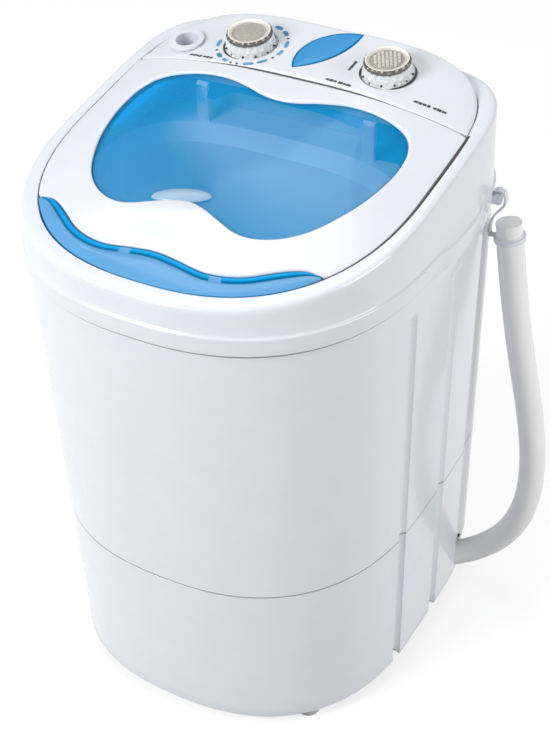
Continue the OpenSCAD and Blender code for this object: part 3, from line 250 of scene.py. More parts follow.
def grid_faces(n, m, looped, start=0):
    """Quads between m rings of n points; looped joins the last ring to the first."""
    faces = []
    for j in range(m if looped else m - 1):
        a, b = start + j * n, start + ((j + 1) % m) * n
        faces += [(a + i, a + (i + 1) % n, b + (i + 1) % n, b + i) for i in range(n)]
    return faces


def skin(rings, looped=True, start=0):
    """Points and faces of a solid through rings: a shell when looped, otherwise closed by fans."""
    n, m = len(rings[0]), len(rings)
    points = [p for r in rings for p in r]
    faces = grid_faces(n, m, looped, start)
    if not looped:
        for ring, first in ((rings[0], 0), (rings[-1], (m - 1) * n)):
            middle = len(points)
            points.append([sum(p[k] for p in ring) / n for k in range(3)])
            faces += [(start + first + i, start + first + (i + 1) % n, start + middle)
                      for i in range(n)]
    return points, faces


def skins(solids):
    """Points and faces of several closed solids; each is a list of rings."""
    points, faces = [], []
    for rings in solids:
        p, f = skin(rings, False, len(points))
        points, faces = points + p, faces + f
    return points, faces


def soften(rings, reach):
    """Rounds the corner at each ring over its reach; reach 0 keeps it sharp."""
    out, m = [], len(rings)
    for j, ring in enumerate(rings):
        if not reach[j]:
            out.append(ring)
            continue
        before, after = rings[j - 1], rings[(j + 1) % m]
        ends = []
        for other in (before, after):
            row = []
            for p, q in zip(ring, other):
                d = Vector(q) - Vector(p)
                row.append(Vector(p) + d * min(0.45, reach[j] / max(d.length, 1e-6)))
            ends.append(row)
        for s in range(CORNER_STEPS + 1):
            t = s / CORNER_STEPS
            out.append([a * (1 - t) ** 2 + Vector(p) * 2 * t * (1 - t) + b * t ** 2
                        for a, p, b in zip(ends[0], ring, ends[1])])
    return out


def cos_d(a):
    return math.cos(math.radians(a))


def sin_d(a):
    return math.sin(math.radians(a))


def ramp(t):
    t = max(0.0, min(1.0, t))
    return t * t * (3 - 2 * t)


# Forms of the casing, as in the part's source
HALF_W, FRONT, REAR, N_FRONT, N_REAR, N_BACK = 185.0, 196.0, 188.0, 2.41, 5.6, 9.5
SIDE_DRAFT, FRONT_DRAFT = math.tan(math.radians(1.28)), math.tan(math.radians(1.78))
REAR_DRAFT, WALL = math.tan(math.radians(0.2)), 3.0
BASE_Z, SEAM_Z, BAND_Z, SEAM_CUT, FACE_GAP = 12.0, 181.0, 464.5, 0.9, 0.2
GROOVE_W, GROOVE_DEPTH, NOTCH, GROOVE_YS = 14.0, 4.5, 9.0, (-34.0, 50.0)
STEP_Y, STEP_DEPTH, FLUSH_Z, FLUSH_RUN = 116.0, 6.5, 34.0, 8.0
TILT = math.radians(8.5)
DECK_Z, SLOPE, CROWN = 535.6, math.tan(TILT), 17.0
BEAD_OUT, BEAD_Z, GRIP_OUT, GRIP_Y, GRIP_L = 2.0, 481.0, 6.0, 52.0, 104.0
COVER_Z, GROOVE_END_Z, PLAIN_Z = SEAM_Z + 135, 432, 450
RECESS_DEPTH, SEAT_DEPTH, SEAT_W, FLANGE_DEPTH, FUNNEL_T = 8.0, 8.3, 10.0, 30.0, 2.5
LID_HALF_W, LID_FRONT, LID_MID_Y, LID_ROUND = 170.7, 184.0, 5.6, 2.46
SEAT_REAR, SEAT_REAR_ROUND = 175.0, 4.6
HINGE_Y, HINGE_DROP, LID_GAP, FRAME_T, PANE_T = 90.5, 4.4, 1.0, 2.2, 2.5
LUGS = (-51.0, 51.0)
ROUND = [-90 + i * 1.25 for i in range(288)]


def deck(y):
    return DECK_Z + SLOPE * y


def lid_rho(x, y):
    s = (abs(x) / LID_HALF_W) ** LID_ROUND + (max(LID_MID_Y - y, 0) / LID_FRONT) ** LID_ROUND
    return min(1.0, s ** (1 / LID_ROUND))


def dome(x, y):
    return deck(y) + CROWN * (1 - lid_rho(x, y) ** 3)


def outline_r(a, w, front, rear, nf, nr):
    n, d = (nf, front) if sin_d(a) < 0 else (nr, rear)
    return (abs(cos_d(a) / w) ** n + abs(sin_d(a) / d) ** n) ** (-1 / n)


def folded(a):
    return 180 - a if a > 90 else a


def lid_xy(a, r):
    """Place at an angle and a reach from the lid's middle."""
    return r * cos_d(a), LID_MID_Y + r * sin_d(a)


def table_at(t, a):
    """Cubic through a table of (angle, value) pairs."""
    def slope_at(i):
        p, q = max(i - 1, 0), min(i + 1, len(t) - 1)
        return 0 if i in (p, q) else (t[q][1] - t[p][1]) / (t[q][0] - t[p][0])
    i = max(k for k in range(len(t) - 1) if t[k][0] <= a or k == 0)
    h = t[i + 1][0] - t[i][0]
    u = (a - t[i][0]) / h
    return ((2 * u ** 3 - 3 * u ** 2 + 1) * t[i][1] + (u ** 3 - 2 * u ** 2 + u) * h * slope_at(i)
            + (3 * u ** 2 - 2 * u ** 3) * t[i + 1][1] + (u ** 3 - u ** 2) * h * slope_at(i + 1))


BODY_W, BODY_FRONT, BODY_REAR = HALF_W - 1, FRONT - 1, REAR - 6
GROOVES = [math.degrees(math.asin(y / BODY_W)) for y in GROOVE_YS]
GROOVE_HALF = math.degrees(math.asin(GROOVE_W / 2 / BODY_W))
STEP_A = math.degrees(math.atan(STEP_Y / BODY_W))


def fine_angles():
    """Angles round the casing from -90, dense at the grooves and at the step of its rear part."""
    right = set(round(-90 + i * 1.5, 3) for i in range(121))
    for g in GROOVES:
        right = {a for a in right if abs(a - g) > GROOVE_HALF + 0.5}
        right |= {round(g + GROOVE_HALF * k / 8, 4) for k in range(-8, 9)}
    right = {a for a in right if abs(a - STEP_A - 0.25) > 0.5}
    right |= {round(STEP_A + k, 4) for k in (-0.3, 0.0, 0.12, 0.25, 0.38, 0.5, 0.8)}
    right |= {40.3 + k * 0.75 for k in range(16)}
    right = sorted(a for a in right if -90 <= a <= 90)
    return right + [180 - a for a in reversed(right[1:-1])]


CASING_ANGLES = fine_angles()


def groove_at(a):
    return max(math.cos(min(1.0, abs(folded(a) - g) / GROOVE_HALF) * math.pi / 2) ** 0.8
               for g in GROOVES)


def stepped(a):
    return ramp((folded(a) - STEP_A) / 0.5)


def grip_at(a):
    y = HALF_W * math.tan(math.radians(max(-60, min(60, folded(a)))))
    return ramp(1.6 - abs(y - GRIP_Y) / (GRIP_L / 2) * 1.6)


def body_r(a, z, n_rear=N_REAR):
    return outline_r(a, BODY_W - (BAND_Z - z) * SIDE_DRAFT, BODY_FRONT - (BAND_Z - z) * FRONT_DRAFT,
                     BODY_REAR - (BAND_Z - z) * REAR_DRAFT, N_FRONT, n_rear)


def body_ring(z, inset, cut, step, notch=0.0, recess=0.0):
    ring = []
    for a in CASING_ANGLES:
        g = groove_at(a)
        r = body_r(a, z)
        r += step / STEP_DEPTH * stepped(a) * (body_r(a, z, N_BACK) - STEP_DEPTH - r)
        r -= inset + cut * g + recess * grip_at(a)
        ring.append((r * cos_d(a), r * sin_d(a), z + notch * g))
    return ring


# Drain hose; x of its points is past the casing's half width
HOSE_R, HOSE_WALL, HOSE_GAP = 13.0, 2.0, 0.3
HOSE_POINTS = [(-25, 119, 24.8), (-12, 122.4, 30.1), (0.2, 125.3, 36.9), (11.4, 127.6, 45.2),
               (21.6, 129.3, 54.9), (30.5, 130.4, 65.7), (38, 130.9, 77.4)]
HOSE_POINTS += [(x, 131, z) for x, z in (
    (44.1, 90), (50.1, 107), (54, 124.6), (56.5, 144.4), (57.2, 164.4), (56.5, 184.4),
    (54.4, 206.3), (50.9, 230), (46.2, 255.6), (41, 281), (35.9, 306.5), (31.1, 332.1),
    (26.8, 357.7), (22.9, 383.4), (19.4, 409.7), (15.9, 436))]
ROUTE = [(HALF_W + x, y, z) for x, y, z in HOSE_POINTS]
SCREW_Y, SCREW_Z, SCREW_R = 125.4, 49.2, 2.2


def catmull(points, steps):
    """Smooth line through points, with steps pieces between neighbours."""
    pts = [Vector(p) for p in points]
    pts = [2 * pts[0] - pts[1]] + pts + [2 * pts[-1] - pts[-2]]
    line = []
    for i in range(1, len(pts) - 2):
        a, b, c, d = pts[i - 1:i + 3]
        for k in range(steps):
            t = k / steps
            line.append(0.5 * (2 * b + (c - a) * t + (2 * a - 5 * b + 4 * c - d) * t ** 2
                               + (3 * b - a - 3 * c + d) * t ** 3))
    return line + [pts[-2]]


def tube_rings(line, radii, sides):
    """Rings round a line; radii is one radius for each of its points."""
    rings = []
    for k, p in enumerate(line):
        d = (line[min(k + 1, len(line) - 1)] - line[max(k - 1, 0)]).normalized()
        side = (Vector((0, 1, 0)) - d * d.y).normalized()
        up = d.cross(side)
        rings.append([p + radii[k] * (side * math.cos(2 * math.pi * i / sides)
                                      + up * math.sin(2 * math.pi * i / sides))
                      for i in range(sides)])
    return rings


def make_hose():
    line = catmull(ROUTE, 6)
    n = len(line)
    outer = tube_rings(line, [HOSE_R] * n, 40)
    inner = tube_rings(line, [HOSE_R - HOSE_WALL] * n, 40)
    hose = piece("drain_hose_tube", skin(outer + inner[::-1]), HOSE, "cabinet",
                 ("drain_hose",), 60)


make_hose()


def make_outlet_screw():
    """The small dark screw head on the base shell above the hose's outlet."""
    rings = tube_rings([Vector((x, SCREW_Y, SCREW_Z)) for x in (167.6, 169.5, 170.1)],
                       [SCREW_R, SCREW_R, 1.5], 24)
    piece("outlet_screw", skin(rings, False), DARK, "cabinet", (), 30)


make_outlet_screw()


def boolean(obj, cutters, mode="DIFFERENCE"):
    """Applies booleans to a mesh and removes their tools."""
    for tool in cutters:
        m = obj.modifiers.new("cut", "BOOLEAN")
        m.operation, m.object, m.solver = mode, tool, "EXACT"
        dg = bpy.context.evaluated_depsgraph_get()
        mesh = bpy.data.meshes.new_from_object(obj.evaluated_get(dg))
        obj.modifiers.clear()
        old = obj.data
        obj.data = mesh
        bpy.data.meshes.remove(old)
        bpy.data.objects.remove(tool)
    return obj


def tool_of(work):
    """Cutting tool made from a bmesh."""
    mesh = bpy.data.meshes.new("tool")
    work.to_mesh(mesh)
    work.free()
    return link_object("tool", mesh)


def tool_box(middle, size):
    work = bmesh.new()
    bmesh.ops.create_cube(work, size=1)
    for v in work.verts:
        v.co = put([m + c * length for m, c, length in zip(middle, v.co, size)])
    return tool_of(work)


def prism(place, outline, low, high):
    """Tool: an outline in a place's XY plane (a matrix in mm), between two heights."""
    work = bmesh.new()
    rings = [[work.verts.new(put(place @ Vector((x, y, z)))) for x, y in outline]
             for z in (low, high)]
    n = len(outline)
    for i in range(n):
        k = (i + 1) % n
        work.faces.new((rings[0][i], rings[0][k], rings[1][k], rings[1][i]))
    work.faces.new(rings[0][::-1])
    work.faces.new(rings[1])
    bmesh.ops.recalc_face_normals(work, faces=work.faces)
    return tool_of(work)


def tool_cylinder(place, r, low, high, sides=96):
    turns = [2 * math.pi * i / sides for i in range(sides)]
    return prism(place, [(r * math.cos(t), r * math.sin(t)) for t in turns], low, high)


# Casing shells
def make_base():
    cut = GROOVE_DEPTH * 1.3
    levels = [FLUSH_Z + FLUSH_RUN * k / 5 for k in range(6)]
    outer = [body_ring(BASE_Z, 0.4, cut, 0, NOTCH),
             body_ring(BASE_Z + 1, 0, cut, 0, NOTCH - 0.6), body_ring(26, 0, cut, 0)]
    outer += [body_ring(z, 0, cut, STEP_DEPTH * ramp((z - FLUSH_Z) / FLUSH_RUN)) for z in levels]
    outer += [body_ring(z, 0, cut, STEP_DEPTH) for z in (60, 100, 140, 170, SEAM_Z - SEAM_CUT)]
    outer += [body_ring(SEAM_Z, SEAM_CUT, cut, STEP_DEPTH)]
    inner = [body_ring(SEAM_Z, WALL, cut, STEP_DEPTH),
             body_ring(FLUSH_Z + FLUSH_RUN, WALL, cut, STEP_DEPTH),
             body_ring(FLUSH_Z, WALL, cut, 0), body_ring(BASE_Z, WALL, cut, 0, NOTCH)]
    shell = piece("base_casing", skin(outer + inner), WHITE, "cabinet",
                  ("base_shell",))
    line = catmull(ROUTE[:5], 6)
    points, faces = skin(tube_rings(line, [HOSE_R + HOSE_GAP] * len(line), 48), False)
    mesh = bpy.data.meshes.new("tool")
    mesh.from_pydata([put(p) for p in points], [], faces)
    tool = link_object("tool", mesh)
    finish_mesh(tool, 35)
    boolean(shell, [tool])
    finish_mesh(shell, 35)


def make_body():
    top = BAND_Z - FACE_GAP
    low_z = SEAM_Z + SEAM_CUT
    outer = [body_ring(z, 0, GROOVE_DEPTH, STEP_DEPTH)
             for z in (low_z, 200, 240, 280, 320, 360, 400, 425)]
    for z in (GROOVE_END_Z, 434, 436, 438, 440, 442, 445, 448, PLAIN_Z):
        fade = ramp((443 - z) / 11)
        step = STEP_DEPTH * ramp((PLAIN_Z - z) / 10)
        outer.append(body_ring(z, 0, GROOVE_DEPTH * fade, step))
    outer += [body_ring(PLAIN_Z + (top - PLAIN_Z) * k / 5, 0, 0, 0, 0, RECESS_DEPTH * ramp(k / 5))
              for k in range(1, 6)]
    inner = [body_ring(top, WALL, 0, 0, 0, RECESS_DEPTH), body_ring(PLAIN_Z, WALL, 0, 0),
             body_ring(GROOVE_END_Z, WALL, GROOVE_DEPTH, STEP_DEPTH),
             body_ring(SEAM_Z + FACE_GAP, WALL, GROOVE_DEPTH, STEP_DEPTH),
             body_ring(SEAM_Z + FACE_GAP, SEAM_CUT, GROOVE_DEPTH, STEP_DEPTH)]
    shell = piece("body_casing", skin(outer + inner), WHITE, "cabinet",
                  ("body_shell",))
    boolean(shell, [tool_box((0, BODY_REAR, COVER_Z), (168, 60, 222))])
    finish_mesh(shell, 35)


def frame_ring(inset, z, on_deck, grip=0.0):
    ring = []
    for a in ROUND:
        r = outline_r(a, HALF_W - inset, FRONT - inset, REAR - inset, N_FRONT, N_REAR)
        r += grip * grip_at(a)
        y = r * sin_d(a)
        ring.append((r * cos_d(a), y, deck(y) + z if on_deck else z))
    return ring


def lid_ring_r(a, grow):
    return outline_r(a, LID_HALF_W + grow, LID_FRONT + grow, SEAT_REAR + grow, LID_ROUND,
                     SEAT_REAR_ROUND)


def seat_ring(grow, depth):
    places = [lid_xy(a, lid_ring_r(a, grow)) for a in ROUND]
    return [(x, y, deck(y) - depth) for x, y in places]


def make_top_frame():
    rows = [
        (frame_ring(-BEAD_OUT * 0.8, BAND_Z, False, GRIP_OUT), 1.0),
        (frame_ring(-BEAD_OUT * 0.85, BEAD_Z - 6, False, GRIP_OUT), 1.5),
        (frame_ring(-BEAD_OUT, BEAD_Z, False, GRIP_OUT * 0.85), 0.9),
        (frame_ring(0, BEAD_Z + 1.8, False, GRIP_OUT * 0.85), 0.9),
        (frame_ring(0.4, BEAD_Z + 14, False, GRIP_OUT * 0.15), 6),
        (frame_ring(0.6, -4.5, True), 2.2),
        (frame_ring(1.9, -1.2, True), 1.6),
        (frame_ring(5, 0, True), 1.5),
        (seat_ring(LID_GAP + 0.6, 0), 0.3),
        (seat_ring(LID_GAP, 0.6), 0.3),
        (seat_ring(LID_GAP, SEAT_DEPTH), 0),
        (seat_ring(-SEAT_W, SEAT_DEPTH), 0.8),
        (seat_ring(-SEAT_W, FLANGE_DEPTH - FACE_GAP), 0),
        (seat_ring(FUNNEL_T - SEAT_W, FLANGE_DEPTH - FACE_GAP), 0),
        (seat_ring(FUNNEL_T - SEAT_W, SEAT_DEPTH + WALL), 0),
        (frame_ring(0.6 + WALL, -SEAT_DEPTH - WALL, True), 0),
        (frame_ring(WALL, BEAD_Z + 14, False), 0),
        (frame_ring(WALL, BEAD_Z, False, -RECESS_DEPTH), 0),
        (frame_ring(WALL, BAND_Z, False, -RECESS_DEPTH), 0)]
    rings = soften(*zip(*rows))
    piece("top_band", skin(rings), WHITE, "cabinet", ("top_frame",), 40)


make_base()
make_body()
make_top_frame()


# Lid
WINDOW = [(-90, 98.5), (-81, 103.5), (-73, 114), (-66.5, 125), (-60, 133), (-50, 138.5),
          (-40, 139.5), (-25, 137), (-8, 137.2), (6, 140), (16, 141.5), (24, 137.5), (34, 120.5),
          (46, 97.5), (58, 76), (72, 60), (90, 54.5)]
CRESCENT = [(-90, 153.5), (-82, 157), (-72, 166.5), (-62, 171), (-52, 171), (-45, 175.5),
            (-39.5, 188)]
CRESCENT_END, REAR_SINE, EDGE_ROUND = -40, 0.2, 1.2
HUMP_H, HUMP_Y, HUMP_W, HUMP_L = 4.5, -112, 40, 20
# Reach and exponent of a rear so far off that it has no part in the outline
NO_REAR = (1000, 40)
HINGE_Z = dome(0, HINGE_Y) - HINGE_DROP
SKIRT_T, KNUCKLE_R, KNUCKLE_OUT, KNUCKLE_HALF, HOOK_T, HOOK_HALF = 2.2, 2.4, 8.6, 3.9, 2.6, 4


def rear_round_at(x):
    return max(LID_GAP, dome(x, HINGE_Y) - HINGE_Z)


def lid_edge_r(a):
    s, c = sin_d(a), abs(cos_d(a))
    side = outline_r(a, LID_HALF_W, LID_FRONT, NO_REAR[0], LID_ROUND, NO_REAR[1])
    if s <= REAR_SINE:
        return side
    rear = (HINGE_Y - LID_MID_Y) / s
    return min(side, rear + rear_round_at(rear * c) / s)


def in_crescent(a):
    return folded(a) < CRESCENT_END


def frame_edge_r(a):
    if in_crescent(a):
        return min(lid_edge_r(a), table_at(CRESCENT, folded(a)))
    return lid_edge_r(a)


def window_r(a):
    return table_at(WINDOW, folded(a))


def is_rear(a):
    return sin_d(a) > REAR_SINE and lid_edge_r(a) * sin_d(a) > HINGE_Y - LID_MID_Y


def edge_round(a):
    return rear_round_at(lid_edge_r(a) * cos_d(a)) / sin_d(a) if is_rear(a) else EDGE_ROUND


def hump_at(x, y):
    """Height of the low swell of the lid's frame between window and crescent."""
    return HUMP_H * math.exp(-((x / HUMP_W) ** 2 + ((y - HUMP_Y) / HUMP_L) ** 2))


def lid_point(a, r, lift):
    x, y = lid_xy(a, r)
    return (x, y, dome(x, y) + hump_at(x, y) + lift)


def edge_ring(t):
    ring = []
    for a in ROUND:
        e = edge_round(a)
        drop = e * sin_d(a) if is_rear(a) else e
        p = lid_point(a, frame_edge_r(a) - e * (1 - sin_d(90 * t)), 0)
        ring.append((p[0], p[1], p[2] - drop * (1 - cos_d(90 * t))))
    return ring


def skirt_z(x, y):
    return max(deck(y) - SEAT_DEPTH + 0.3, dome(x, y) - 10)


def skirt_ring(inset):
    ring = []
    for a in ROUND:
        x, y = lid_xy(a, frame_edge_r(a) - inset)
        low = dome(x, y) + hump_at(x, y) - FRAME_T
        ring.append((x, y, low if in_crescent(a) else skirt_z(x, y)))
    return ring


def mid_ring(t, lift, out=0.0):
    """Ring between the window's edge (0) and the inside of the lid's skirt (1)."""
    reaches = [(window_r(a), frame_edge_r(a) - SKIRT_T) for a in ROUND]
    return [lid_point(a, w + out + t * (edge - w), lift) for a, (w, edge) in zip(ROUND, reaches)]


def make_lid_frame():
    rings = [skirt_ring(0)] + [edge_ring(1 - k / 6) for k in range(7)]
    rings += [mid_ring(t, 0) for t in (0.92, 0.8, 0.66, 0.52, 0.38, 0.25, 0.15, 0.08)]
    rings += [mid_ring(0, lift, out) for lift, out in
              ((-0.02, 2.0), (-0.25, 0.9), (-0.8, 0.25), (-1.4, 0), (-FRAME_T, 0.0))]
    rings += [mid_ring(t, -FRAME_T) for t in (0.2, 0.4, 0.6, 0.8, 1)] + [skirt_ring(SKIRT_T)]
    lid = piece("lid_cover", skin(rings), WHITE, "lid", ("lid_frame",), 40)
    boolean(lid, [tool_box((x, HINGE_Y, HINGE_Z - 7.2), (9, 18, 14)) for x in LUGS])
    finish_mesh(lid, 40)
    knuckles = []
    for middle in (x + side * KNUCKLE_OUT for x in LUGS for side in (-1, 1)):
        knuckles.append([[(middle + along, HINGE_Y + KNUCKLE_R * cos_d(i * 15),
                           HINGE_Z + KNUCKLE_R * sin_d(i * 15)) for i in range(24)]
                         for along in (-KNUCKLE_HALF, KNUCKLE_HALF)])
    piece("lid_knuckles", skins(knuckles), WHITE, "lid")


PANE_DROP = 0.35


def pane_in_front(a):
    return folded(a) < CRESCENT_END - 4


def pane_edge_r(a):
    if pane_in_front(a):
        return lid_edge_r(a)
    r = frame_edge_r(a) - SKIRT_T - 0.3 - (11 if folded(a) > 26 else 7 if folded(a) > 18 else 0)
    return r - (rear_round_at(lid_edge_r(a) * cos_d(a)) if is_rear(a) else 0)


def pane_ring(t, lift):
    return [lid_point(a, t * pane_edge_r(a), lift - FRAME_T - PANE_DROP) for a in ROUND]


def pane_skirt(inset):
    ring = []
    for a in ROUND:
        x, y = lid_xy(a, pane_edge_r(a) - inset)
        low = dome(x, y) + hump_at(x, y) - FRAME_T - PANE_DROP - PANE_T - 0.1
        ring.append((x, y, skirt_z(x, y) if pane_in_front(a) else low))
    return ring


LIP_GAPS, LIP_STEPS = (77, 137), 96


def crescent_row(a, profile):
    return [lid_point(a, r, lift) for r, lift in profile]


def make_pane():
    shares = [0.12, 0.25, 0.38, 0.5, 0.6, 0.7, 0.8, 0.88, 0.96]
    rings = [pane_ring(t, -PANE_T) for t in shares] + [pane_skirt(2), pane_skirt(0)]
    rings += [pane_ring(t, 0) for t in [1] + shares[::-1]]
    piece("lid_window", skin(rings, False), BLUE, "lid", ("lid_pane",), 40)
    half = [-90 + (88 + CRESCENT_END) * i / LIP_STEPS for i in range(LIP_STEPS + 1)]
    angles = [-180 - a for a in reversed(half[1:])] + half
    low, edge, top = -FRAME_T - 0.8, -1.6, -0.6
    rows = []
    for a in angles:
        fold = -180 - a if a < -90 else a
        out = lid_edge_r(a)
        back = min(out - 2.6, table_at(CRESCENT, fold) + 0.45)
        span = out - back
        s = min(1.0, span / 19)
        rows.append(crescent_row(a, [
            (out, low), (back, low), (back, edge), (back + 0.5 * s, edge + 0.7),
            (back + 1.9 * s, top), (back + 2.3 * s, top + 0.15), (back + 5.0 * s, top + 0.15),
            (back + 5.4 * s, top - 0.3), (back + 6.8 * s, top - 0.4), (back + 7.4 * s, top),
            (back + span * 0.55, top + 0.25 * s), (back + span * 0.7, top + 0.25 * s),
            (out - 3.6 * s, top + 0.15), (out - 2.2 * s, top), (out - 0.7 * s, top - 0.45),
            (out, edge)]))
    raised = piece("lid_crescent", skin(rows, False), LIP_BLUE, "lid",
                   (), 40)
    # The deep blue strips on the back wall, in the groove and along the outer edge are painted
    # shade
    bands = {1: 1, 2: 1, 3: 1, 4: 2, 5: 2, 6: 1, 7: 1, 14: 1, 15: 1}

    def look_at(k):
        row, strip = k // len(rows[0]), k % len(rows[0])
        if row >= len(rows) - 1:
            return 1
        gap = any(abs(row - g) < 3.5 for g in LIP_GAPS)
        return 0 if gap and strip in (4, 5, 6, 7) else bands.get(strip, 0)
    paint(raised, [EDGE_SHADE_BLUE, CYAN], look_at)


LAYER_EDGE = [(-138, -8), (-134.5, 4.8), (-130.5, 15.1), (-126, 28), (-106.7, 41.5), (-90, 43.5),
              (-89.6, 58), (-87.5, 66), (-82.5, 70.5), (-77, 67.7), (-71, 52), (-62, 50),
              (-57, 60), (-53, 66.5), (-32.3, 67.5), (-1.3, 65), (39.4, 66), (72, 60.5),
              (79.5, 60), (81.5, 67), (87, 73), (94.5, 70), (101, 55), (108, 38), (112, 30),
              (131.7, 35), (140, 30)]
# Rear edge of the layer, and how far its two sides lie under the crowned surface
LAYER_REAR, LAYER_LIFTS = 75.0, (-8.2, -8.8)


def make_window_shade_filter():
    """A deep-blue sheet under the window's rear part that paints the shade under the panel seen
    through it, open round the two posts seen through it.
    """
    inner, points, faces = [], [], []
    for p, q in zip(LAYER_EDGE, LAYER_EDGE[1:]):
        n = max(1, int((q[0] - p[0]) / 4))
        inner += [(p[0] + (q[0] - p[0]) * i / n, p[1] + (q[1] - p[1]) * i / n) for i in range(n)]
    inner.append(LAYER_EDGE[-1])
    for x, y in inner:
        for u in range(5):
            v = y + (max(LAYER_REAR, y + 1) - y) * u / 4
            for lift in LAYER_LIFTS:
                points.append((x, v, dome(x, v) + lift))
    n = len(inner)
    for i in range(n - 1):
        for u in range(4):
            a, b = i * 10 + u * 2, (i + 1) * 10 + u * 2
            faces += [(a, a + 2, b + 2, b), (a + 1, b + 1, b + 3, a + 3)]
        for u in (0, 8):
            a, b = i * 10 + u, (i + 1) * 10 + u
            faces.append((a, b, b + 1, a + 1))
    for a in (i * 10 + u * 2 for i in (0, n - 1) for u in range(4)):
        faces.append((a, a + 1, a + 3, a + 2))
    piece("window_shade_layer", (points, faces), SHADE_FILTER, "lid", (), 60)


def make_window_details():
    """Dark strip of painted shade under the window's edge, and the raised finger bump behind its
    front, painted pale for its reflection.
    """
    rings = [mid_ring(0, lift, out) for out, lift in
             ((-1.5, -FRAME_T - 0.33), (0.4, -FRAME_T - 0.33), (0.4, -FRAME_T - 0.03),
              (-1.1, -FRAME_T - 0.03))]
    # Strip of painted shade under the frame's lip
    piece("window_edge_shade", skin(rings), EDGE_SHADE_BLUE, "lid", (), 40)
    middle, long_r, short_r, high, turn = (-12.5, -86.5), 26.5, 8.5, 4.2, 19.0
    rings = []
    for share in (1.0, 0.97, 0.9, 0.78, 0.62, 0.45, 0.28, 0.12):
        row = []
        for i in range(64):
            u, v = long_r * share * cos_d(i * 5.625), short_r * share * sin_d(i * 5.625)
            x = middle[0] + u * cos_d(turn) - v * sin_d(turn)
            y = middle[1] + u * sin_d(turn) + v * cos_d(turn)
            row.append((x, y, dome(x, y) + hump_at(x, y) - FRAME_T - PANE_DROP
                        + high * math.sqrt(1 - share ** 2)))
        rings.append(row)
    # The bump's pale colour is a painted reflection
    piece("window_bump", skin(rings, False), BUMP_REFLECTION_BLUE, "lid", (), 60)


make_lid_frame()
make_pane()
make_window_shade_filter()
make_window_details()


# Control panel
WASH, MODE = (-68.0, 128.5), (73.0, 133.0)
WELL_R, WELL_DEPTH, WELL_T, SHAFT_R = 26.5, 3.2, 2.5, 3.0
PANEL_MID, PANEL_T, PANEL_FAR, HALVINGS = 136.0, 3.0, 346.0, 26
CURTAIN_HALF, CURTAIN_T = 150, 2.5
INLET, INLET_R, SPOUT_R = (-132.0, 118.0), 13.2, 7.2
LEAF, LEAF_L, LEAF_TURN, LEAF_BULGE, LEAF_HOLLOW = (7.0, 142.0), 80.0, 61.0, 23.5, 12.0


def on_panel(x, y):
    return Matrix.Translation((x, y, dome(x, y))) @ Matrix.Rotation(TILT, 4, "X")


def panel_front_y(x):
    return HINGE_Y + rear_round_at(x) + LID_GAP


def ray_in(c, s, t):
    x, y = t * c, PANEL_MID + t * s
    q = ((abs(x) / LID_HALF_W) ** SEAT_REAR_ROUND
         + (max(y - LID_MID_Y, 0) / SEAT_REAR) ** SEAT_REAR_ROUND)
    return q < 1 and y > panel_front_y(x)


def panel_reach(a):
    """Reach of the panel from its middle at an angle, found by halving."""
    lo, hi = 0.0, PANEL_FAR
    c, s = cos_d(a), sin_d(a)
    for _ in range(HALVINGS):
        mid = (lo + hi) / 2
        if ray_in(c, s, mid):
            lo = mid
        else:
            hi = mid
    return lo


PANEL_EDGES = [panel_reach(a) for a in ROUND]


def panel_places(t, inset):
    reaches = [t * e - inset for e in PANEL_EDGES]
    return [(r * cos_d(a), PANEL_MID + r * sin_d(a)) for a, r in zip(ROUND, reaches)]


def panel_ring(t, inset, lift, fall=0.0):
    """Ring on the panel's crowned surface; fall lowers its rear and sides more than its front."""
    return [(x, y, dome(x, y) + lift - fall * (0.8 if sin_d(a) < -0.2 else 3))
            for a, (x, y) in zip(ROUND, panel_places(t, inset))]


def panel_skirt(inset, down):
    return [(x, y, deck(y) - down) for x, y in panel_places(1, inset)]


def leaf_points(grow):
    """Outline of the leaf-shaped lens, grown all round, about its own middle."""
    n = 40

    def side(h):
        length = LEAF_L + 2 * grow
        r = (length ** 2 / 4 + h * h) / (2 * h)
        half = math.asin(length / 2 / r)
        turns = [-half + 2 * half * i / n for i in range(n + 1)]
        return [(r * math.sin(t), r * math.cos(t) - r + h) for t in turns]
    up, low = side(LEAF_BULGE + grow), side(LEAF_HOLLOW + grow)
    flat = up[::-1] + [(x, -y) for x, y in low[1:-1]]
    c, s = cos_d(LEAF_TURN), sin_d(LEAF_TURN)
    return [(x * c - y * s, x * s + y * c) for x, y in flat]


def arc_points(r, a, b, n):
    return [(r * cos_d(a + (b - a) * i / n), r * sin_d(a + (b - a) * i / n)) for i in range(n + 1)]


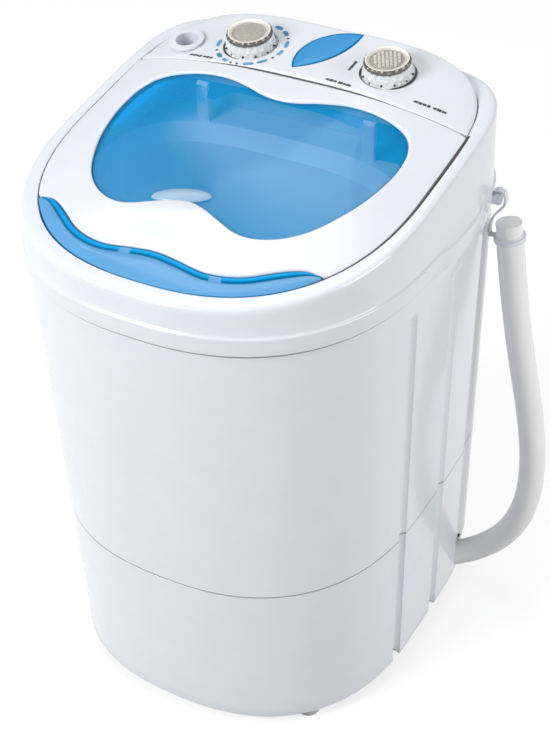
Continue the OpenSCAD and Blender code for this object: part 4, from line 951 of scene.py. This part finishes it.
def make_panel():
    shares = [0.12, 0.25, 0.38, 0.5, 0.62, 0.74, 0.86]
    rings = [panel_ring(t, 0, -PANEL_T) for t in shares]
    rings += [panel_ring(1, 5, -PANEL_T - 1.5, 0.5), panel_ring(1, 2.5, -PANEL_T - 4, 0.5),
              panel_skirt(2.5, SEAT_DEPTH - 0.1), panel_skirt(0, SEAT_DEPTH - 0.1)]
    rings += [panel_ring(1, inset, 0, fall) for inset, fall in
              ((0, 1), (0.15, 0.75), (0.5, 0.55), (1, 0.42), (2, 0.2), (3, 0.06), (4.5, 0))]
    rings += [panel_ring(t, 0, 0) for t in shares[::-1]]
    panel = piece("panel_plate", skin(rings, False), WHITE, "cabinet",
                  ("control_panel",), 40)
    for spot in (WASH, MODE):
        wall = tool_cylinder(on_panel(*spot), WELL_R + WELL_T, -WELL_DEPTH - WELL_T, -WELL_T)
        boolean(panel, [wall], "UNION")
    cuts = []
    for spot in (WASH, MODE):
        cuts.append(tool_cylinder(on_panel(*spot), WELL_R, -WELL_DEPTH, 30))
        cuts.append(tool_cylinder(on_panel(*spot), SHAFT_R + 3, -20, 10, 48))
    cuts.append(tool_cylinder(on_panel(*INLET), INLET_R, -40, 40, 72))
    cuts.append(prism(on_panel(*LEAF), leaf_points(0.2), -1.8, 20))
    boolean(panel, cuts)
    finish_mesh(panel, 40)


def make_hooks():
    """Hooks under the panel that hold the lid's knuckles on the hinge line."""
    low_r = rear_round_at(LUGS[1]) + 0.5
    points, faces = [], []
    outline = arc_points(low_r, 12, -152, 32) + arc_points(low_r + HOOK_T, -152, 12, 32)
    web = [(0, 0)] + arc_points(low_r + 1, -120, -152, 6)
    eye = arc_points(KNUCKLE_R, 0, 345, 23)
    for x in LUGS:
        for shape in (outline, web, eye):
            rings = [[(x + along, HINGE_Y + u, HINGE_Z + v) for u, v in shape]
                     for along in (-HOOK_HALF, HOOK_HALF)]
            n, start = len(shape), len(points)
            points += rings[0] + rings[1]
            faces += [tuple(range(start, start + n)),
                      tuple(range(start + 2 * n - 1, start + n - 1, -1))]
            faces += [(start + i, start + (i + 1) % n, start + n + (i + 1) % n, start + n + i)
                      for i in range(n)]
    piece("hinge_hooks", (points, faces), WHITE, "cabinet", (), 40)


def make_curtain():
    """Wall below the panel's front edge, with the opening of the water inlet's spout; its grey-blue
    colour is painted shade from the panel above.
    """
    y0, z0 = panel_front_y(0) + 1.5, deck(HINGE_Y) - FLANGE_DEPTH + 1.4
    w, t = CURTAIN_HALF, CURTAIN_T
    rings = [[(x, y0 + y, z0 + z) for x, y in ((-w, 0), (w, 0), (w, t), (-w, t))]
             for z in (0, FLANGE_DEPTH - 4)]
    curtain = piece("panel_curtain", skin(rings, False), CURTAIN, "cabinet", ())
    spout_at = Matrix.Translation((INLET[0], y0 + 1, dome(*INLET) - 22))
    spout = spout_at @ Matrix.Rotation(math.pi / 2, 4, "X")
    boolean(curtain, [tool_cylinder(spout, SPOUT_R, -15, 15, 48)])
    finish_mesh(curtain, 40)


def make_leaf():
    place = on_panel(*LEAF)
    rings = []
    for grow, z in ((0, -1.75), (0, 0.1), (-0.25, 0.35), (-1.9, 0.6), (-2.9, 0.7), (-5.2, 0.9)):
        rings.append([place @ Vector((x, y, z)) for x, y in leaf_points(grow)])
    lens = piece("leaf_lens", skin(rings, False), LENS_BLUE, "cabinet",
                 ("indicator_lens",), 40)
    n = len(rings[0])
    # The lens's outer edge rings are painted shade in deep blue, with a cyan ring inside them
    paint(lens, [EDGE_SHADE_BLUE, CYAN], lambda k: 1 if k < 3 * n else 2 if k < 4 * n else 0)


make_panel()
make_hooks()
make_curtain()
make_leaf()


# Knobs: a ribbed crystal skirt, a bright bezel with a dark side, and arcs of painted shade in the
# gap of the well
KNOB_LIFT = 0.6 - WELL_DEPTH
SKIRT_R, BEZEL_R, SKIRT_H, BEZEL_H, DISC_R = 24.5, 22.0, 12.5, 5.0, 16.0
DOT_R, DOT_Z, SHADE_ARC_R = 0.85, KNOB_LIFT + 3.4, 25.7
KNOB_SIDES, SKIRT_WAVES, RING_WAVES = 240, 20, 24


def lathe(place, rows, waves):
    """Rings round a place's axis; a row is radius, height, and depth and shift of any waves."""
    rings = []
    for r, z, depth, shift in (row if len(row) == 4 else row + (0, 0) for row in rows):
        ring = []
        for i in range(KNOB_SIDES):
            a = 360 * i / KNOB_SIDES
            cut = depth * abs(sin_d(a * waves / 2 + shift))
            ring.append(place @ Vector(((r - cut) * cos_d(a), (r - cut) * sin_d(a), KNOB_LIFT + z)))
        rings.append(ring)
    return rings


def knob_skirt(name, place, body, replaced):
    def side_r(z):
        return SKIRT_R + (BEZEL_R - 0.6 - SKIRT_R) * (z - 1.5) / (SKIRT_H - 1.5)
    rows = [(BEZEL_R - 3, SKIRT_H - 2), (SKIRT_R - 2.6, 0), (SKIRT_R, 0), (SKIRT_R, 1.4)]
    rows += [(side_r(z), z, d, 0) for z, d in ((1.9, 0.7), (2.6, 1.5), (5.6, 1.5), (6.3, 0.9))]
    rows += [(side_r(6.6), 6.6, 0.1, 0)]
    rows += [(side_r(z), z, d, 90) for z, d in ((6.9, 0.9), (7.6, 1.5), (11.0, 1.5), (11.7, 0.9))]
    rows += [(BEZEL_R - 0.6, SKIRT_H), (7, SKIRT_H), (7, SKIRT_H - 2)]
    piece(name, skin(lathe(place, rows, SKIRT_WAVES)), KNOB, body, (replaced,), 20)
    dots = []
    for k in range(12):
        turn = place @ Matrix.Rotation(math.radians(30 * k + 11), 4, "Z")
        dots.append([[turn @ Vector((x, DOT_R * cos_d(i * 36), DOT_Z + DOT_R * sin_d(i * 36)))
                      for i in range(10)] for x in (SKIRT_R - 2.2, SKIRT_R - 0.15)])
    piece(name + "_dots", skins(dots), PRINT_GREY, body, (), 40)


def knob_bezel(name, place, body, replaced):
    top = SKIRT_H + 0.02
    rows = [(DISC_R, 0), (BEZEL_R - 0.4, 0, 1.0, 0), (BEZEL_R, 0.8, 1.0, 0),
            (BEZEL_R, 3.2, 1.0, 0), (BEZEL_R - 0.8, 4.2, 0.7, 0), (BEZEL_R - 1.7, BEZEL_H - 0.1),
            (BEZEL_R - 2.3, BEZEL_H), (DISC_R + 2.4, BEZEL_H - 0.2), (DISC_R + 0.4, BEZEL_H - 1.0),
            (DISC_R, BEZEL_H - 1.4)]
    rows = [(row[0], row[1] + top) + row[2:] for row in rows]
    ring = piece(name, skin(lathe(place, rows, RING_WAVES)), METAL, body,
                 (replaced,), 25)
    paint(ring, [DARK_METAL], lambda k: 1 if 1 <= k // KNOB_SIDES <= 4 else 0)


def disc_ribs(name, place, body):
    """Small raised bars in rows across the switch's disc."""
    bars = []
    turn = place @ Matrix.Rotation(math.radians(28), 4, "Z")
    top = KNOB_LIFT + SKIRT_H + BEZEL_H - 2.0
    for i in range(-4, 5):
        for k in range(-3, 4):
            x, y = 3.6 * i, 4.7 * k + (i % 2) * 1.4
            if math.hypot(abs(x) + 1.2, abs(y) + 2.1) > DISC_R - 0.6:
                continue
            bars.append([[turn @ Vector((x + u * w, y + v * l, z))
                          for u, v in ((-1, -1), (1, -1), (1, 1), (-1, 1))] for w, l, z in
                         ((1.3, 2.1, top), (1.3, 2.1, top + 0.8), (0.9, 1.7, top + 1.15))])
    piece(name, skins(bars), KNOB_RIB, body, (), 30)


def gap_arcs(name, place, spans):
    """Dark arcs of painted shade in the gap between a knob and its well, drawn in at their ends."""
    arcs = []
    for a, b in spans:
        rings = []
        for i in range(25):
            t = a + (b - a) * i / 24
            w = 0.75 * math.sqrt(max(0.1, 1 - abs(i / 12 - 1) ** 3))
            corners = [(SHADE_ARC_R - w, -WELL_DEPTH), (SHADE_ARC_R + w, -WELL_DEPTH),
                       (SHADE_ARC_R + w, -0.5), (SHADE_ARC_R - w, -0.5)]
            rings.append([place @ Vector((r * cos_d(t), r * sin_d(t), z)) for r, z in corners])
        arcs.append(rings)
    piece(name, skins(arcs), DARK, "cabinet", (), 30)


for label, spot in (("wash", WASH), ("mode", MODE)):
    knob_skirt(label + "_crystal", on_panel(*spot), label + "_knob", label + "_knob_skirt")
    knob_bezel(label + "_ring", on_panel(*spot), label + "_knob", label + "_knob_bezel")
disc_ribs("mode_disc_ribs", on_panel(*MODE), "mode_knob")
# Arcs of painted shade where the gap round each knob falls dark
gap_arcs("wash_well_shade", on_panel(*WASH), ((-168, -88), (-64, 22)))
gap_arcs("mode_well_shade", on_panel(*MODE), ((-174, -84), (-60, 42)))


# Shade lines: strips of painted shade in the gap at the lid's right edge and in the seams
STRIP_IN = 2.2


def shade_line(name, rows, look):
    """A solid strip; each row is the four corners of one cross-section."""
    piece(name, skin(rows, False), look, "cabinet", (), 40)


def ring_strip(name, low, high, out, groove, step):
    """Grey ring of painted shade in a seam round the casing, between two heights, set in by out."""
    rings = [body_ring(z, inset, groove, step)
             for z, inset in ((low, STRIP_IN), (low, out), (high, out), (high, STRIP_IN))]
    piece(name, skin(rings), SEAM_SHADE_PALE, "cabinet", (), 40)


def make_shade_lines():
    # Painted shade in the seam over the base and in the seam under the band
    ring_strip("base_seam_shade", SEAM_Z - 1.0, SEAM_Z + 1.2, 0.12, GROOVE_DEPTH, STEP_DEPTH)
    ring_strip("band_seam_shade", BAND_Z - 2.6, BAND_Z - 0.25, -0.25, 0, 0)
    # Dark strip of painted shade in the gap round the lid's right edge, wider towards the rear
    rows = []
    for i in range(61):
        a = -46 + i * 1.22
        w = 0.35 + 1.5 * ramp((a + 40) / 62)
        corners = []
        for grow, depth in ((LID_GAP - 0.2, 0.9), (LID_GAP + 0.3 + w, 0.25),
                            (LID_GAP + 0.3 + w, -0.12), (LID_GAP - 0.2, -0.12)):
            x, y = lid_xy(a, lid_ring_r(a, grow))
            corners.append((x, y, deck(y) - depth))
        rows.append(corners)
    shade_line("lid_edge_shade", rows, DARK)
    rows = []
    for i in range(111):
        x = -165 + i * 3
        y = panel_front_y(x)
        z = dome(x, y)
        rows.append([(x, y + dy, z - dz)
                     for dy, dz in ((-0.75, 3), (0.3, 3), (0.3, 0.9), (-0.75, 0.9))])
    shade_line("panel_seam_strip", rows, SEAM_GREY)


make_shade_lines()


# Printed marks lie on the panel as thin layers
PRINT_LIFT, PRINT_T = 0.06, 0.14


def printed(name, outlines, look):
    """Each outline is a list of (x, y) points, laid on the crowned surface as a thin layer."""
    points, faces = [], []
    for outline in outlines:
        n, start = len(outline), len(points)
        for h in (PRINT_LIFT, PRINT_LIFT + PRINT_T):
            points += [(x, y, dome(x, y) + h) for x, y in outline]
        for i in range(n):
            k = (i + 1) % n
            faces.append((start + i, start + k, start + n + k, start + n + i))
        for base in (start, start + n):
            faces += [(base + i, base + i + 1, base + n - 2 - i, base + n - 1 - i)
                      for i in range(n // 2 - 1)]
    piece(name, (points, faces), look, "cabinet")


def bar(x1, y1, x2, y2, w):
    """Outline of a straight mark of width w, split so that it follows the surface."""
    d = Vector((x2 - x1, y2 - y1))
    side = Vector((-d.y, d.x)).normalized() * w / 2
    n = max(2, int(d.length / 3))
    line = [Vector((x1, y1)) + d * i / n for i in range(n + 1)]
    return [tuple(p + side) for p in line] + [tuple(p - side) for p in reversed(line)]


MARK_RING = (WASH[0] + 1.2, WASH[1] + 0.8)


def round_mark(a, b, r1, r2):
    """Outline of a mark of the timer's ring, with drawn-in ends."""
    n = max(8, int(abs(b - a) / 2))
    middle, half, outer, inner = (r1 + r2) / 2, (r2 - r1) / 2, [], []
    for i in range(n + 1):
        t = a + (b - a) * i / n
        w = half * math.sqrt(max(0.12, 1 - abs(2 * i / n - 1) ** 5))
        for row, r in ((outer, middle + w), (inner, middle - w)):
            row.append((MARK_RING[0] + r * cos_d(t), MARK_RING[1] + r * sin_d(t)))
    return outer + inner[::-1]


def blocks(x1, y1, x2, y2, sizes, w):
    """A row of small dark blocks between two points, standing for a label without letters."""
    d, total, out, at = Vector((x2 - x1, y2 - y1)), sum(sizes), [], 0.0
    for k, size in enumerate(sizes):
        a, b = at / total, (at + size) / total
        at += size
        if k % 2 == 0:
            p, q = Vector((x1, y1)) + d * a, Vector((x1, y1)) + d * b
            out.append(bar(*p, *q, w * (0.8 + 0.2 * ((k // 2) % 2))))
    return out


def make_marks():
    deep = [(78, 62), (56, 40)]
    sky = [(25, 6), (-1, -17), (-35, -53), (-58, -76), (-105, -117), (-159, -178)]
    printed("timer_marks", [round_mark(a, b, 31.4, 35.8) for a, b in deep], PRINT_BLUE)
    printed("timer_marks_pale", [round_mark(a, b, 31.4, 35.2) for a, b in sky], PRINT_SKY)
    printed("timer_mark_teal", [round_mark(-122, -137, 31.0, 35.2)], PRINT_TEAL)
    dots = [32, -26, -86, -97, -148]
    printed("timer_dots", [round_mark(a - 1.9, a + 1.9, 32.4, 34.9) for a in dots], PRINT_GREY)
    words = blocks(-118, 100, -92, 98, (3, .5, 2, .5, 2.6, .5, 2, 1.6, 2.6, .5, 2, .5, 3), 3.0)
    words += blocks(26, 102.2, 51.5, 100.8, (2, .4, 2.6, .4, 2, 1.2, 3, .4, 2, .4, 3), 3.2)
    words += blocks(112, 106, 143, 107, (2.6, .5, 2, .5, 2.2, .5, 2, 1.8, 2, .5, 2.6, .5, 2.6), 3.2)
    words += blocks(38.9, 121.5, 39.2, 136.5, (3.4, .3, 3, .3, 3.6, .3, 3), 3.0)
    printed("label_marks", words, PRINT_GREY)


make_marks()


# Floor, background and light
FLOOR_HALF, FLOOR_GREY, FLOOR_GLOW, WORLD_LIGHT = 6.0, 0.36, 0.72, 0.33


def maths(tree, operation, *feeds):
    """A maths node's output; each feed is another node's output or a number."""
    made = tree.nodes.new("ShaderNodeMath")
    made.operation = operation
    for k, feed in enumerate(feeds):
        if isinstance(feed, float):
            made.inputs[k].default_value = feed
        else:
            tree.links.new(feed, made.inputs[k])
    return made.outputs[0]


def make_floor():
    """White floor that glows for the camera, so that it reads as plain background."""
    mesh = bpy.data.meshes.new("floor")
    h = FLOOR_HALF
    mesh.from_pydata([(-h, -h, 0), (h, -h, 0), (h, h, 0), (-h, h, 0)], [], [(0, 1, 2, 3)])
    floor = link_object("floor", mesh)
    m, tree, join = new_material("floor_white")
    tree.nodes.clear()
    out = node(tree, "ShaderNodeOutputMaterial")
    matt = node(tree, "ShaderNodeBsdfDiffuse", Color=(FLOOR_GREY, FLOOR_GREY, FLOOR_GREY, 1))
    glow = node(tree, "ShaderNodeEmission")
    path = node(tree, "ShaderNodeLightPath").outputs
    seen = maths(tree, "MAXIMUM", path["Is Camera Ray"],
                 maths(tree, "MAXIMUM", path["Is Glossy Ray"], path["Is Transmission Ray"]))
    tree.links.new(maths(tree, "MULTIPLY", seen, FLOOR_GLOW), glow.inputs["Strength"])
    add = node(tree, "ShaderNodeAddShader")
    join(matt, 0, add, 0)
    join(glow, 0, add, 1)
    join(add, 0, out, "Surface")
    mesh.materials.append(m)


def make_world():
    """White background, dimmer as a light than to the camera."""
    world = bpy.data.worlds.new("studio")
    bpy.context.scene.world = world
    world.use_nodes = True
    tree = world.node_tree
    back = tree.nodes["Background"]
    back.inputs["Color"].default_value = (1.0, 1.0, 1.0, 1)
    path = node(tree, "ShaderNodeLightPath").outputs
    rise = node(tree, "ShaderNodeMapRange", To_Min=WORLD_LIGHT, To_Max=1.0)
    seen = maths(tree, "MAXIMUM", path["Is Camera Ray"], path["Is Transmission Ray"])
    tree.links.new(seen, rise.inputs["Value"])
    tree.links.new(rise.outputs["Result"], back.inputs["Strength"])


def area(name, at, target, size, power):
    data = bpy.data.lights.new(name, "AREA")
    data.shape, data.size, data.size_y, data.energy = "RECTANGLE", size, size, power
    lamp = link_object(name, data)
    lamp.location = at
    lamp.rotation_euler = (Vector(target) - Vector(at)).to_track_quat("-Z", "Y").to_euler()


make_floor()
make_world()
area("key", (-1.24, -2.24, 1.92), (0, 0, 0.38), 1.3, 70)
area("top", (-0.7, 0.6, 2.5), (0, 0, 0.5), 1.4, 14)
area("side", (2.5, 0.1, 1.25), (0, 0, 0.38), 1.2, 32)

view = bpy.context.scene.view_settings
view.view_transform = "Standard"
